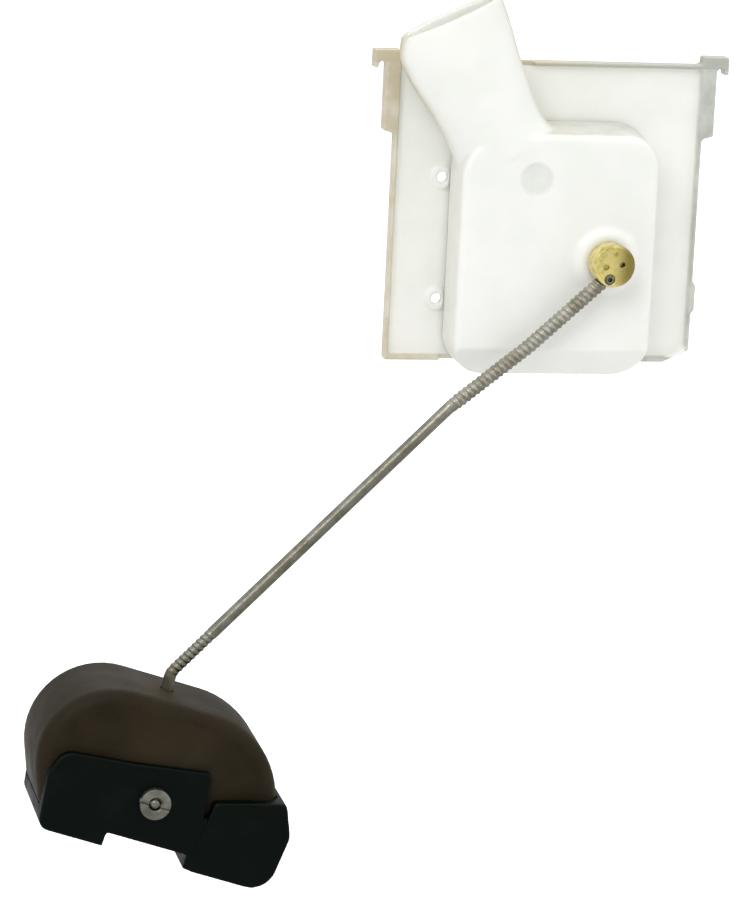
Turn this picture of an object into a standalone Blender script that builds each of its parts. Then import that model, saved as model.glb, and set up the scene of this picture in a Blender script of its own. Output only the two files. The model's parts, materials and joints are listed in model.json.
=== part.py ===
"""Float valve: a moulded housing with an angled neck, a brass spindle, a wire arm and a shod float.

Run it with: blender --background --python part.py

Millimetres are used throughout and add_object() turns them into Blender's metres. +Z is up, the front
of the valve looks along -Y, and the origin is the centre of the housing's flat rear face.

How it works: liquid enters the neck, passes the strainer and leaves through the nozzle inside the
housing. The float lifts the arm, the arm turns the spindle, and a crank on the spindle pushes the
plunger, with its rubber disc, up against the nozzle.
"""

from math import atan2, cos, pi, radians, sin, tan

import bmesh
import bpy
from mathutils import Matrix, Vector

METRES_PER_MM = 0.001
GAP = 0.1  # left between neighbouring pieces that do not move against each other
RUNNING_GAP = 0.05  # radial play of a shaft in its bearing

# Back plate
PLATE_LEFT = -41.2
PLATE_RIGHT = 41.2
PLATE_BOTTOM = -39.6
PLATE_TOP = 39.4
PLATE_FRONT = -2.5
RIM_FRONT = -4.5
RIM_WIDTH = 1.1
EAR_REACH = 6.1  # how far an ear stands out past the side of the plate
EAR_TOP = 41.6
EAR_UNDERSIDE = 38.6
EAR_LIP = 1.2
RAIL_WIDTH = 3.0
RAIL_BOTTOM = 19.8
FLANGE_HOLE_X = -27.6
FLANGE_HOLES_Z = (8.5, -23.5)
FLANGE_HOLE_RADIUS = 1.45
FLANGE_RING_RADIUS = 2.9
FLANGE_RING_HEIGHT = 0.8

# Front cover
BOX_LEFT = -25.8
BOX_RIGHT = 26.4
BOX_BOTTOM = -41.3
BOX_TOP = 24.0
BOX_DRAFT = 1.9  # the top wall leans back by this much between the seam and the front face
BOX_BACK = -3.5
BOX_FRONT = -18.5
BOX_WALL = 1.8
BOX_EDGE_ROUND = 1.6
BOX_CORNER_BOTTOM = 9.0
BOX_CORNER_TOP = 8.5
BOX_CORNER_NECK = 12.0
CHAMFER_TOP = -33.9  # the slope under the front face starts at this height ...
CHAMFER_BACK = -13.5  # ... and meets the underside this far back
COVER_SCREWS = ((-21.6, -34.8), (22.2, -35.0), (21.4, 16.8), (-21.6, -2.0))
SCREW_RADIUS = 1.25
SCREW_HEAD_RADIUS = 2.8
SCREW_POST_RADIUS = 3.0
SCREW_HOLE_END = -12.6
GATE_MARK = (-6.2, 10.6)
GATE_MARK_RADIUS = 4.4
GATE_MARK_DEPTH = 0.4

# Neck, an oval tube leaning to the left
NECK_TILT = radians(25.0)
MOUTH_X = -29.4
MOUTH_Z = 51.4
NECK_Y = -11.3
NECK_HALF_DEPTH = 7.6
MOUTH_HALF_WIDTH = 12.0
MOUTH_TAPER = 20.0  # how far down the neck its bore narrows
BORE_HALF_WIDTH = 10.4
BORE_HALF_DEPTH = 5.6
NECK_LENGTH = 40.0
# Left and right edges (x, z) of the neck's outside, from the mouth down into the box
NECK_EDGES = (
    ((-42.1, 45.5), (-16.7, 57.3)),
    ((-42.4, 42.0), (-13.6, 49.5)),
    ((-41.6, 38.4), (-11.4, 43.0)),
    ((-38.2, 32.4), (-9.0, 37.0)),
    ((-33.2, 25.6), (-6.6, 31.0)),
    ((-28.8, 18.6), (-3.8, 26.0)),
    ((-25.0, 10.4), (0.2, 22.2)),
)

# Valve parts, placed by their distance down the neck's axis from the mouth
STRAINER_START = 26.0
STRAINER_END = 27.2
PLUG_START = 33.0
PLUG_END = 39.4
SEAT_END = 43.5
ORIFICE_RADIUS = 1.6
GROOVE_START = 35.2
GROOVE_END = 37.0
GROOVE_DEPTH = 1.0
DISC_RADIUS = 2.9
DISC_THICKNESS = 2.2
DISC_PROUD = 0.5
CLOSED_GAP = 0.2  # disc to seat at the arm's upper limit
GUIDE_START = 50.0
GUIDE_END = 64.5
GUIDE_WALL = 1.5
GUIDE_FRONT = -13.5
GUIDE_PLAY = 0.25
PLUNGER_HALF_WIDTH = 4.5
PLUNGER_FRONT = -14.6
PLUNGER_BACK = -8.0
PLUNGER_TAIL = 5.4  # from the crank pin to the plunger's lower end
FORK_PLAY = 0.35  # of the crank pin in the plunger's fork

# Spindle, crank and their bearing
SPINDLE_X = 13.4
SPINDLE_Z = -10.3
SPINDLE_RADIUS = 3.0
SPINDLE_END = -1.2
JOURNAL_RADIUS = 2.0
JOURNAL_BOSS_RADIUS = 4.5
HEAD_RADIUS = 5.5
HEAD_BACK = -20.5
HEAD_FRONT = -27.2
HEAD_EDGE = 0.7
SPANNER_HOLE_RADIUS = 0.7
SPANNER_HOLE_OFFSET = 2.1
BOSS_RADIUS = 9.0
BOSS_FRONT = -20.0
BOSS_BACK = -13.0
BOSS_BORE_WALL = 2.7
BUSH_RADIUS = 4.4
BUSH_FLANGE_RADIUS = 5.6
BUSH_FRONT = -17.3
BUSH_BACK = -12.2
SEAL_Y = -18.15
SEAL_CORD_RADIUS = 0.6
WASHER_FRONT = -12.1
WASHER_BACK = -11.6
WASHER_OUTSIDE = 5.2
CLIP_FRONT = -11.4
CLIP_BACK = -10.6
CLIP_RADIUS = 4.8
CLIP_GROOVE_RADIUS = 2.4
CRANK_BACK = -5.0
CRANK_FRONT = -7.7
CRANK_SEAT_RADIUS = 2.5
CRANK_HUB_RADIUS = 5.0
CRANK_TIP_RADIUS = 3.0
CRANK_PIN_RADIUS = 1.5
CRANK_PIN_END = -13.4
CRANK_SCREW_RADIUS = 0.85
CRANK_SQUARE_AT = radians(-5.0)  # arm angle at which the crank stands square to the plunger
ARM_HIGHEST = radians(20.0)  # the float's travel up from rest, which closes the valve

# Float arm, a bent rod in the plane y = ROD_Y
ROD_Y = -23.7
ROD_RADIUS = 1.6
ROD_THREAD_RADIUS = 1.95
ROD_BEND = 4.5
ROD_PATH = ((16.2, -10.3), (-7.3, -32.0), (-27.5, -48.3), (-97.4, -118.4), (-103.4, -147.6))
ROD_EYE_RADIUS = 4.2
ROD_EYE_HALF_THICKNESS = 1.7
ROD_EYE_BORE = 1.75
CLAMP_SCREW_RADIUS = 1.2
CLAMP_SCREW_FROM_END = 5.2  # from the rod's upper end, along the rod

# Float and shoe, in the float's own frame: x along its base, z up from the clamp screw
FLOAT_TILT = radians(17.0)
FLOAT_FRONT = -39.4
FLOAT_BACK = -8.0
FLOAT_EDGE_ROUND = 4.0
FLOAT_CORNERS = ((-26.8, -11.2, 5.0), (32.6, -11.2, 5.0), (32.6, 25.2, 24.0), (-42.3, 25.2, 19.5))
SHOE_FRONT = -42.5
SHOE_BACK = -5.2
SHOE_BOTTOM = -14.7
SHOE_CORNERS = (
    (-26.6, SHOE_BOTTOM, 3.0),
    (20.0, SHOE_BOTTOM, 0.0),
    (13.6, 0.0, 2.0),
    (12.2, 11.4, 1.5),
    (-8.0, 8.3, 6.0),
    (-26.4, 6.4, 4.5),
    (-28.6, -0.4, 4.0),
)
TOE_FRONT = -43.4
TOE_BACK = -4.4
TOE_CORNERS = (
    (13.8, SHOE_BOTTOM, 0.8),
    (35.6, SHOE_BOTTOM, 6.5),
    (36.8, 1.0, 4.0),
    (33.0, 9.4, 1.5),
    (15.0, 4.4, 1.0),
)
NOTCH_LEFT = -9.2
NOTCH_RIGHT = 12.6
REAR_WALL_LEFT = -21.0  # the shoe's rear wall is shorter than its front panel
NOTCH_TOP = -11.0
FLOAT_SCREW_RADIUS = 1.5
WASHER_RADIUS = 3.6
WASHER_THICKNESS = 0.8
SCREW_CAP_RADIUS = 2.8
SCREW_CAP_HEIGHT = 1.9
NUT_RADIUS = 4.15
NUT_THICKNESS = 1.9
NUT_SLOT = 1.1


# Frames

def frame_at(x, z, turn, y=0.0):
    """Frame at (x, y, z) whose X and Z axes are turned clockwise, seen from the front."""
    return Matrix.Translation((x, y, z)) @ Matrix.Rotation(turn, 4, "Y")


WORLD = Matrix.Identity(4)
NECK = frame_at(MOUTH_X, MOUTH_Z, -NECK_TILT)  # its -Z runs down the neck's axis
SPINDLE = frame_at(SPINDLE_X, SPINDLE_Z, 0.0)
FLOAT = frame_at(*ROD_PATH[-1], FLOAT_TILT)
SPINDLE_IN_NECK = NECK.inverted() @ Vector((SPINDLE_X, 0.0, SPINDLE_Z))
CRANK_LENGTH = SPINDLE_IN_NECK.x
PIN_IN_NECK = SPINDLE_IN_NECK + CRANK_LENGTH * Vector((-cos(-CRANK_SQUARE_AT), 0.0, sin(-CRANK_SQUARE_AT)))
PLUNGER_TRAVEL = CRANK_LENGTH * ARM_HIGHEST
DISC_TOP = -(SEAT_END + CLOSED_GAP + PLUNGER_TRAVEL)  # the disc's face at rest, in the neck's frame


# Outlines in the XZ plane

def turned_corner(before, corner, after, radius, steps):
    """Points of the arc that rounds one corner of an outline."""
    here = Vector(corner)
    back = (Vector(before) - here).normalized()
    ahead = (Vector(after) - here).normalized()
    half = back.angle(ahead) / 2
    centre = here + (back + ahead).normalized() * radius / sin(half)
    first = here + back * radius / tan(half) - centre
    last = here + ahead * radius / tan(half) - centre
    start = atan2(first.y, first.x)
    sweep = (atan2(last.y, last.x) - start + pi) % (2 * pi) - pi
    angles = [start + sweep * step / steps for step in range(steps + 1)]
    return [(centre.x + radius * cos(angle), centre.y + radius * sin(angle)) for angle in angles]


def rounded(corners, steps=5):
    """Closed outline through corners given as (x, z, radius)."""
    points = []
    for index, (x, z, radius) in enumerate(corners):
        if radius == 0:
            points.append((x, z))
            continue
        before = corners[index - 1][:2]
        after = corners[(index + 1) % len(corners)][:2]
        points += turned_corner(before, (x, z), after, radius, steps)
    return points


def bent(path, radius, steps=3):
    """Open line through the points of path, its inner corners bent to a radius."""
    points = [path[0]]
    for before, corner, after in zip(path, path[1:], path[2:]):
        points += turned_corner(before, corner, after, radius, steps)
    return points + [path[-1]]


def inset(corners, distance):
    """Corners of the same outline moved inwards by distance, which keeps its rounded corners concentric."""
    moved = []
    for index, (x, z, radius) in enumerate(corners):
        here = Vector((x, z))
        back = (Vector(corners[index - 1][:2]) - here).normalized()
        ahead = (Vector(corners[(index + 1) % len(corners)][:2]) - here).normalized()
        shift = (back + ahead).normalized() * distance / sin(back.angle(ahead) / 2)
        moved.append((x + shift.x, z + shift.y, radius - distance))
    return moved


def circle(radius, segments, x=0.0, z=0.0):
    angles = [2 * pi * step / segments for step in range(segments)]
    return [(x + radius * cos(angle), z + radius * sin(angle)) for angle in angles]


def rectangle(left, right, bottom, top):
    return [(left, bottom), (right, bottom), (right, top), (left, top)]


def oval(half_width, half_depth, z, y=NECK_Y, segments=28):
    """Ring across the neck's axis, in the neck's frame."""
    angles = [2 * pi * step / segments for step in range(segments)]
    return [(half_width * cos(angle), y + half_depth * sin(angle), z) for angle in angles]


# Shapes

def skin(rings, loop=False):
    """Closed surface through rings of as many points each; capped at both ends unless it is a loop."""
    shape = bmesh.new()
    rows = [[shape.verts.new(point) for point in ring] for ring in rings]
    pairs = list(zip(rows, rows[1:]))
    if loop:
        pairs.append((rows[-1], rows[0]))
    for low, high in pairs:
        for index in range(len(low)):
            after = (index + 1) % len(low)
            shape.faces.new((low[index], low[after], high[after], high[index]))
    if not loop:
        shape.faces.new(rows[0])
        shape.faces.new(rows[-1])
    bmesh.ops.recalc_face_normals(shape, faces=shape.faces)
    return shape


def extruded(outline, front, back):
    """Solid between two depths y, with an outline of (x, z) points."""
    return skin([[(x, y, z) for x, z in outline] for y in (front, back)])


def turned(profile, loop=False, segments=24):
    """Solid of revolution about the Y axis from (radius, y) points; a loop leaves a bore down the middle."""
    return skin([[(x, y, z) for x, z in circle(radius, segments)] for radius, y in profile], loop)


def upended(shape):
    """Turns a shape made along Y so that its +Y end points along +Z."""
    bmesh.ops.rotate(shape, verts=shape.verts, matrix=Matrix.Rotation(radians(90), 3, "X"))
    return shape


def lengthways(shape, y=NECK_Y):
    """Shape turned about Y, laid along the neck's axis at depth y."""
    upended(shape)
    bmesh.ops.translate(shape, verts=shape.verts, vec=(0.0, y, 0.0))
    return shape


def sliced(shape, point, normal):
    """Takes away what lies beyond a plane, on the side its normal points to, and closes the cut."""
    geometry = shape.verts[:] + shape.edges[:] + shape.faces[:]
    bmesh.ops.bisect_plane(shape, geom=geometry, plane_co=point, plane_no=normal, clear_outer=True)
    bmesh.ops.edgeloop_fill(shape, edges=[edge for edge in shape.edges if edge.is_boundary])
    bmesh.ops.recalc_face_normals(shape, faces=shape.faces)
    return shape


def swept(path, radii, y, sides=12):
    """Round bar along a path of (x, z) points at depth y, with a radius for each point."""
    rings = []
    for index, (point, radius) in enumerate(zip(path, radii)):
        before = Vector(path[max(index - 1, 0)])
        after = Vector(path[min(index + 1, len(path) - 1)])
        along = (after - before).normalized()
        across = Vector((-along.y, along.x))
        angles = [2 * pi * step / sides for step in range(sides)]
        rings.append(
            [
                (
                    point[0] + across.x * radius * cos(angle),
                    y + radius * sin(angle),
                    point[1] + across.y * radius * cos(angle),
                )
                for angle in angles
            ]
        )
    return skin(rings)


# Objects

def clear_scene():
    for thing in list(bpy.data.objects):
        bpy.data.objects.remove(thing, do_unlink=True)


def material(name, colour, roughness, metallic=0.0, alpha=1.0):
    made = bpy.data.materials.new(name)
    made.use_nodes = True
    made.diffuse_color = (*colour, alpha)
    surface = made.node_tree.nodes["Principled BSDF"]
    surface.inputs["Base Color"].default_value = (*colour, 1.0)
    surface.inputs["Roughness"].default_value = roughness
    surface.inputs["Metallic"].default_value = metallic
    surface.inputs["Alpha"].default_value = alpha
    return made


def add_object(name, shape, frame=WORLD):
    mesh = bpy.data.meshes.new(name)
    shape.to_mesh(mesh)
    shape.free()
    mesh.transform(Matrix.Scale(METRES_PER_MM, 4))
    thing = bpy.data.objects.new(name, mesh)
    bpy.context.scene.collection.objects.link(thing)
    thing.location = frame.translation * METRES_PER_MM
    thing.rotation_euler = frame.to_euler()
    return thing


def add_part(name, shape, finish, frame=WORLD, pivot=None):
    """One solid piece. A piece that moves is parented to the empty on its joint's axis."""
    part = add_object(name, shape, frame)
    part.data.materials.append(finish)
    part.data.shade_smooth()
    part.data.set_sharp_from_angle(angle=radians(35))
    if pivot:
        part.parent = pivot
        part.matrix_parent_inverse = Matrix.Translation(-pivot.location)
    return part


def add_pivot(name, x, y, z):
    pivot = bpy.data.objects.new(name, None)
    bpy.context.scene.collection.objects.link(pivot)
    pivot.location = Vector((x, y, z)) * METRES_PER_MM
    return pivot


def combine(part, shape, frame, operation):
    guide = add_object(f"{part.name}_{operation.lower()}_{len(part.modifiers) + 1}", shape, frame)
    guide.hide_render = True
    guide.display_type = "WIRE"
    boolean = part.modifiers.new(guide.name, "BOOLEAN")
    boolean.operation = operation
    boolean.solver = "EXACT"
    boolean.object = guide


def cut(part, shape, frame=WORLD):
    combine(part, shape, frame, "DIFFERENCE")


def join(part, shape, frame=WORLD):
    combine(part, shape, frame, "UNION")


# Housing

def plate_outline():
    """The plate with its ears and side rails; the left side mirrors the right, apart from the cut corner."""
    lip_left = PLATE_RIGHT + EAR_REACH - EAR_LIP
    side = [
        (PLATE_RIGHT, RAIL_BOTTOM),
        (PLATE_RIGHT + RAIL_WIDTH, RAIL_BOTTOM + 0.8),
        (PLATE_RIGHT + RAIL_WIDTH, EAR_UNDERSIDE),
        (lip_left, EAR_UNDERSIDE),
        (lip_left, EAR_UNDERSIDE - 1.8),
        (PLATE_RIGHT + EAR_REACH, EAR_UNDERSIDE - 1.8),
        (PLATE_RIGHT + EAR_REACH, EAR_TOP),
        (PLATE_RIGHT - RIM_WIDTH + 0.2, EAR_TOP),
        (PLATE_RIGHT - RIM_WIDTH + 0.2, PLATE_TOP),
    ]
    nib = [(PLATE_RIGHT, -26.5), (PLATE_RIGHT + 0.8, -25.5), (PLATE_RIGHT + 0.8, -19.0), (PLATE_RIGHT, -18.0)]
    tab = [(-21.0, PLATE_BOTTOM), (-19.0, BOX_BOTTOM), (19.6, BOX_BOTTOM), (21.6, PLATE_BOTTOM)]
    cut_corner = [(34.4, PLATE_BOTTOM), (PLATE_RIGHT, -36.4)]
    mirrored = [(-x, z) for x, z in reversed(side)]
    return [(PLATE_LEFT, PLATE_BOTTOM)] + tab + cut_corner + nib + side + mirrored


def make_back_plate(finish):
    plate = add_part("back_plate", extruded(plate_outline(), RIM_FRONT, 0.0), finish)
    left = PLATE_LEFT + RIM_WIDTH
    right = PLATE_RIGHT - RIM_WIDTH
    bottom = PLATE_BOTTOM + RIM_WIDTH
    beyond = RIM_WIDTH + 5.0  # the recess runs out of the plate here, under the cover and under the neck
    recess = [
        (left, bottom),
        (BOX_LEFT - 0.6, bottom),
        (BOX_LEFT - 0.6, bottom - beyond),
        (BOX_RIGHT + 0.6, bottom - beyond),
        (BOX_RIGHT + 0.6, bottom),
        (34.1, bottom),
        (right, -35.7),
        (right, PLATE_TOP - RIM_WIDTH),
        (-5.0, PLATE_TOP - RIM_WIDTH),
        (-5.0, PLATE_TOP + beyond),
        (left, PLATE_TOP + beyond),
    ]
    cut(plate, extruded(recess, RIM_FRONT - 1.0, PLATE_FRONT))
    for z in FLANGE_HOLES_Z:
        top = PLATE_FRONT - FLANGE_RING_HEIGHT
        ring = turned([(FLANGE_RING_RADIUS, PLATE_FRONT + 0.4), (FLANGE_RING_RADIUS, top)], segments=20)
        sliced(ring, (BOX_LEFT - GAP - FLANGE_HOLE_X, 0.0, 0.0), (1.0, 0.0, 0.0))
        here = frame_at(FLANGE_HOLE_X, z, 0.0)
        join(plate, ring, here)
        cut(plate, turned([(FLANGE_HOLE_RADIUS, 1.0), (FLANGE_HOLE_RADIUS, -5.0)], segments=16), here)
    for x, z in COVER_SCREWS:
        clearance = SCREW_RADIUS + 0.2
        head_room = SCREW_HEAD_RADIUS + 0.2
        sink = [(head_room, 1.0), (head_room, -0.5), (clearance, -1.9), (clearance, PLATE_FRONT - 1.0)]
        cut(plate, turned(sink, segments=16), frame_at(x, z, 0.0))
    boss = [(JOURNAL_BOSS_RADIUS, PLATE_FRONT + 0.4), (JOURNAL_BOSS_RADIUS, CRANK_BACK + 0.6)]
    join(plate, turned(boss), SPINDLE)
    hole = JOURNAL_RADIUS + RUNNING_GAP
    cut(plate, turned([(hole, -6.0), (hole, -1.0)]), SPINDLE)
    inner = PLUNGER_HALF_WIDTH + GUIDE_PLAY
    for side in (-1, 1):
        across = sorted((side * inner, side * (inner + GUIDE_WALL)))
        cheek = extruded(rectangle(*across, -GUIDE_END, -GUIDE_START), GUIDE_FRONT, PLATE_FRONT + 0.4)
        join(plate, cheek, NECK)
    floor = rectangle(-inner - 0.5, inner + 0.5, -GUIDE_END, -GUIDE_START)
    join(plate, extruded(floor, PLUNGER_BACK + 0.15, PLATE_FRONT + 0.3), NECK)
    return plate


def box_corners(distance=0.0, y=BOX_BACK):
    """Corners of the box at depth y, moved inwards by distance."""
    top = BOX_TOP - BOX_DRAFT * (BOX_BACK - y) / (BOX_BACK - BOX_FRONT)
    corners = [
        (BOX_LEFT, BOX_BOTTOM, BOX_CORNER_BOTTOM),
        (BOX_RIGHT, BOX_BOTTOM, BOX_CORNER_BOTTOM),
        (BOX_RIGHT, top, BOX_CORNER_TOP),
        (BOX_LEFT, top, BOX_CORNER_NECK),
    ]
    return inset(corners, distance)


def box_ring(distance, y):
    return [(x, y, z) for x, z in rounded(box_corners(distance, y))]


def box_shape():
    """Outside of the raised box, with its front edge rounded and its lower front edge sloped."""
    rings = [box_ring(0.0, BOX_BACK)]
    steps = 3
    for step in range(steps + 1):
        angle = pi / 2 * step / steps
        depth = BOX_FRONT + BOX_EDGE_ROUND * (1 - sin(angle))
        rings.append(box_ring(BOX_EDGE_ROUND * (1 - cos(angle)), depth))
    return sloped(skin(rings), 0.0)


def sloped(shape, depth):
    """Cuts the slope under the front face, moved inwards by depth."""
    normal = Vector((0.0, BOX_BOTTOM - CHAMFER_TOP, BOX_FRONT - CHAMFER_BACK)).normalized()
    point = Vector((0.0, BOX_FRONT, CHAMFER_TOP)) - normal * depth
    return sliced(shape, point, normal)


def neck_ring(left, right, half_depth=NECK_HALF_DEPTH, shrink=0.0, segments=28):
    """Oval ring of the neck's outside between its left and right edges."""
    left = Vector((left[0], 0.0, left[1]))
    right = Vector((right[0], 0.0, right[1]))
    centre = (left + right) / 2 + Vector((0.0, NECK_Y, 0.0))
    across = (right - left) / 2
    across = across.normalized() * (across.length - shrink)
    deep = Vector((0.0, half_depth - shrink, 0.0))
    angles = [2 * pi * step / segments for step in range(segments)]
    return [centre + across * cos(angle) + deep * sin(angle) for angle in angles]


def neck_shape():
    rim = 0.5  # rounding of the mouth's outer edge
    down = Vector((sin(NECK_TILT), 0.0, -cos(NECK_TILT))) * rim
    mouth = neck_ring(*NECK_EDGES[0], shrink=rim)
    below = [point + down for point in neck_ring(*NECK_EDGES[0])]
    return skin([mouth, below] + [neck_ring(*edges) for edges in NECK_EDGES[1:]])


def make_front_cover(finish):
    cover = add_part("front_cover", box_shape(), finish)
    inside = skin([box_ring(BOX_WALL, BOX_BACK + 1.0), box_ring(BOX_WALL, BOX_FRONT + BOX_WALL)])
    cut(cover, sloped(inside, BOX_WALL))
    join(cover, neck_shape())
    bore = [(MOUTH_HALF_WIDTH, 2.0), (MOUTH_HALF_WIDTH, 0.0)]
    bore += [(BORE_HALF_WIDTH, -MOUTH_TAPER), (BORE_HALF_WIDTH, -NECK_LENGTH - 1.5)]
    cut(cover, skin([oval(half_width, BORE_HALF_DEPTH, z) for half_width, z in bore]), NECK)
    inner_boss = BOSS_RADIUS - BOSS_BORE_WALL
    boss = [
        (inner_boss, BOSS_BACK),
        (inner_boss, BOX_FRONT + 1.0),
        (BOSS_RADIUS, BOX_FRONT + 0.6),
        (BOSS_RADIUS, BOX_FRONT - 0.1),
        (inner_boss + 1.0, BOSS_FRONT + 0.2),
        (inner_boss + 0.4, BOSS_FRONT),
    ]
    join(cover, turned(boss, segments=32), SPINDLE)
    lip = SPINDLE_RADIUS + 0.4
    seal_end = BOSS_FRONT + 1.0
    bearing = BUSH_RADIUS + GAP
    seat = [(bearing, BOSS_BACK + 1.0), (bearing, seal_end), (lip, seal_end), (lip, BOSS_FRONT - 1.0)]
    cut(cover, turned(seat), SPINDLE)
    for x, z in COVER_SCREWS:
        front = CHAMFER_BACK - 0.7 if z < CHAMFER_TOP else BOX_FRONT + 1.0
        here = frame_at(x, z, 0.0)
        post = [(SCREW_POST_RADIUS, BOX_BACK), (SCREW_POST_RADIUS, front)]
        join(cover, turned(post, segments=16), here)
        pilot = SCREW_RADIUS + 0.15
        cut(cover, turned([(pilot, BOX_BACK + 1.0), (pilot, SCREW_HOLE_END)], segments=12), here)
    mark = [(GATE_MARK_RADIUS, BOX_FRONT - 1.0), (GATE_MARK_RADIUS, BOX_FRONT + GATE_MARK_DEPTH)]
    cut(cover, turned(mark), frame_at(*GATE_MARK, 0.0))
    return cover


def make_cover_seal(finish):
    corners = (box_corners(0.2), box_corners(BOX_WALL - 0.2))
    outer, inner = (rounded(item) for item in corners)
    front = BOX_BACK + GAP
    back = PLATE_FRONT - GAP
    edges = [(outer, front), (outer, back), (inner, back), (inner, front)]
    rings = [[(x, y, z) for x, z in outline] for outline, y in edges]
    return add_part("cover_seal", skin(rings, loop=True), finish)


def make_cover_screws(finish):
    profile = [
        (SCREW_HEAD_RADIUS, -0.2),
        (SCREW_HEAD_RADIUS, -0.4),
        (SCREW_RADIUS, -1.8),
        (SCREW_RADIUS, -11.4),
        (0.5, -12.2),
    ]
    for number, (x, z) in enumerate(COVER_SCREWS, 1):
        here = frame_at(x, z, radians(40.0 * number))
        screw = add_part(f"cover_screw_{number}", turned(profile, segments=16), finish, here)
        cut(screw, extruded(rectangle(-0.35, 0.35, -4.0, 4.0), -1.0, 1.0), here)


# Inlet and valve

def make_inlet_strainer(finish):
    half_width = BORE_HALF_WIDTH - 0.15
    half_depth = BORE_HALF_DEPTH - 0.15
    rings = [oval(half_width, half_depth, -down) for down in (STRAINER_START, STRAINER_END)]
    strainer = add_part("inlet_strainer", skin(rings), finish, NECK)
    pitch = 3.0
    for row in (-1, 0, 1):
        for column in range(-3, 4):
            x = pitch * (column + (0.5 if row else 0.0))
            if (x / BORE_HALF_WIDTH) ** 2 + (row * pitch / BORE_HALF_DEPTH) ** 2 > 0.75:
                continue
            mesh_hole = [(1.05, -STRAINER_END - 1.0), (1.05, -STRAINER_START + 1.0)]
            hole = lengthways(turned(mesh_hole, segments=8))
            bmesh.ops.translate(hole, verts=hole.verts, vec=(x, row * pitch, 0.0))
            cut(strainer, hole, NECK)


def make_valve_nozzle(finish):
    wide = BORE_HALF_WIDTH - 0.2
    deep = BORE_HALF_DEPTH - 0.2
    rings = [
        oval(wide, deep, -PLUG_START),
        oval(wide, deep, -GROOVE_START),
        oval(wide - GROOVE_DEPTH, deep - GROOVE_DEPTH, -GROOVE_START),
        oval(wide - GROOVE_DEPTH, deep - GROOVE_DEPTH, -GROOVE_END),
        oval(wide, deep, -GROOVE_END),
        oval(wide, deep, -PLUG_END),
        oval(4.4, 4.4, -PLUG_END),
        oval(2.6, 2.6, -SEAT_END),
    ]
    nozzle = add_part("valve_nozzle", skin(rings), finish, NECK)
    funnel = [(4.2, -PLUG_START + 1.0), (4.2, -PLUG_START - 0.5), (ORIFICE_RADIUS, -PLUG_END + 1.0)]
    funnel.append((ORIFICE_RADIUS, -SEAT_END - 1.0))
    cut(nozzle, lengthways(turned(funnel, segments=16)), NECK)


def make_nozzle_seal(finish):
    outer = GAP  # inside the bore's wall
    inner = GROOVE_DEPTH + GAP
    start = GROOVE_START + GAP
    end = GROOVE_END - GAP
    rings = []
    for margin, down in ((outer, start), (outer, end), (inner, end), (inner, start)):
        rings.append(oval(BORE_HALF_WIDTH - margin, BORE_HALF_DEPTH - margin, -down))
    add_part("nozzle_seal", skin(rings, loop=True), finish, NECK)


def make_plunger(finish, rubber, slide):
    top = DISC_TOP - DISC_PROUD
    bottom = PIN_IN_NECK.z - PLUNGER_TAIL
    side = rectangle(-PLUNGER_HALF_WIDTH, PLUNGER_HALF_WIDTH, bottom, top)
    plunger = add_part("plunger", extruded(side, PLUNGER_FRONT, PLUNGER_BACK), finish, NECK, slide)
    reach = CRANK_PIN_RADIUS + FORK_PLAY
    fork = rectangle(-2.2, PLUNGER_HALF_WIDTH + 1.0, PIN_IN_NECK.z - reach, PIN_IN_NECK.z + reach)
    cut(plunger, extruded(fork, PLUNGER_FRONT - 1.0, PLUNGER_BACK + 1.0), NECK)
    floor = DISC_TOP - DISC_THICKNESS - GAP
    recess = DISC_RADIUS + GAP
    cut(plunger, lengthways(turned([(recess, floor), (recess, top + 1.0)])), NECK)
    disc = lengthways(turned([(DISC_RADIUS, DISC_TOP - DISC_THICKNESS), (DISC_RADIUS, DISC_TOP)]))
    add_part("seat_disc", disc, rubber, NECK, slide)


# Spindle group

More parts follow.
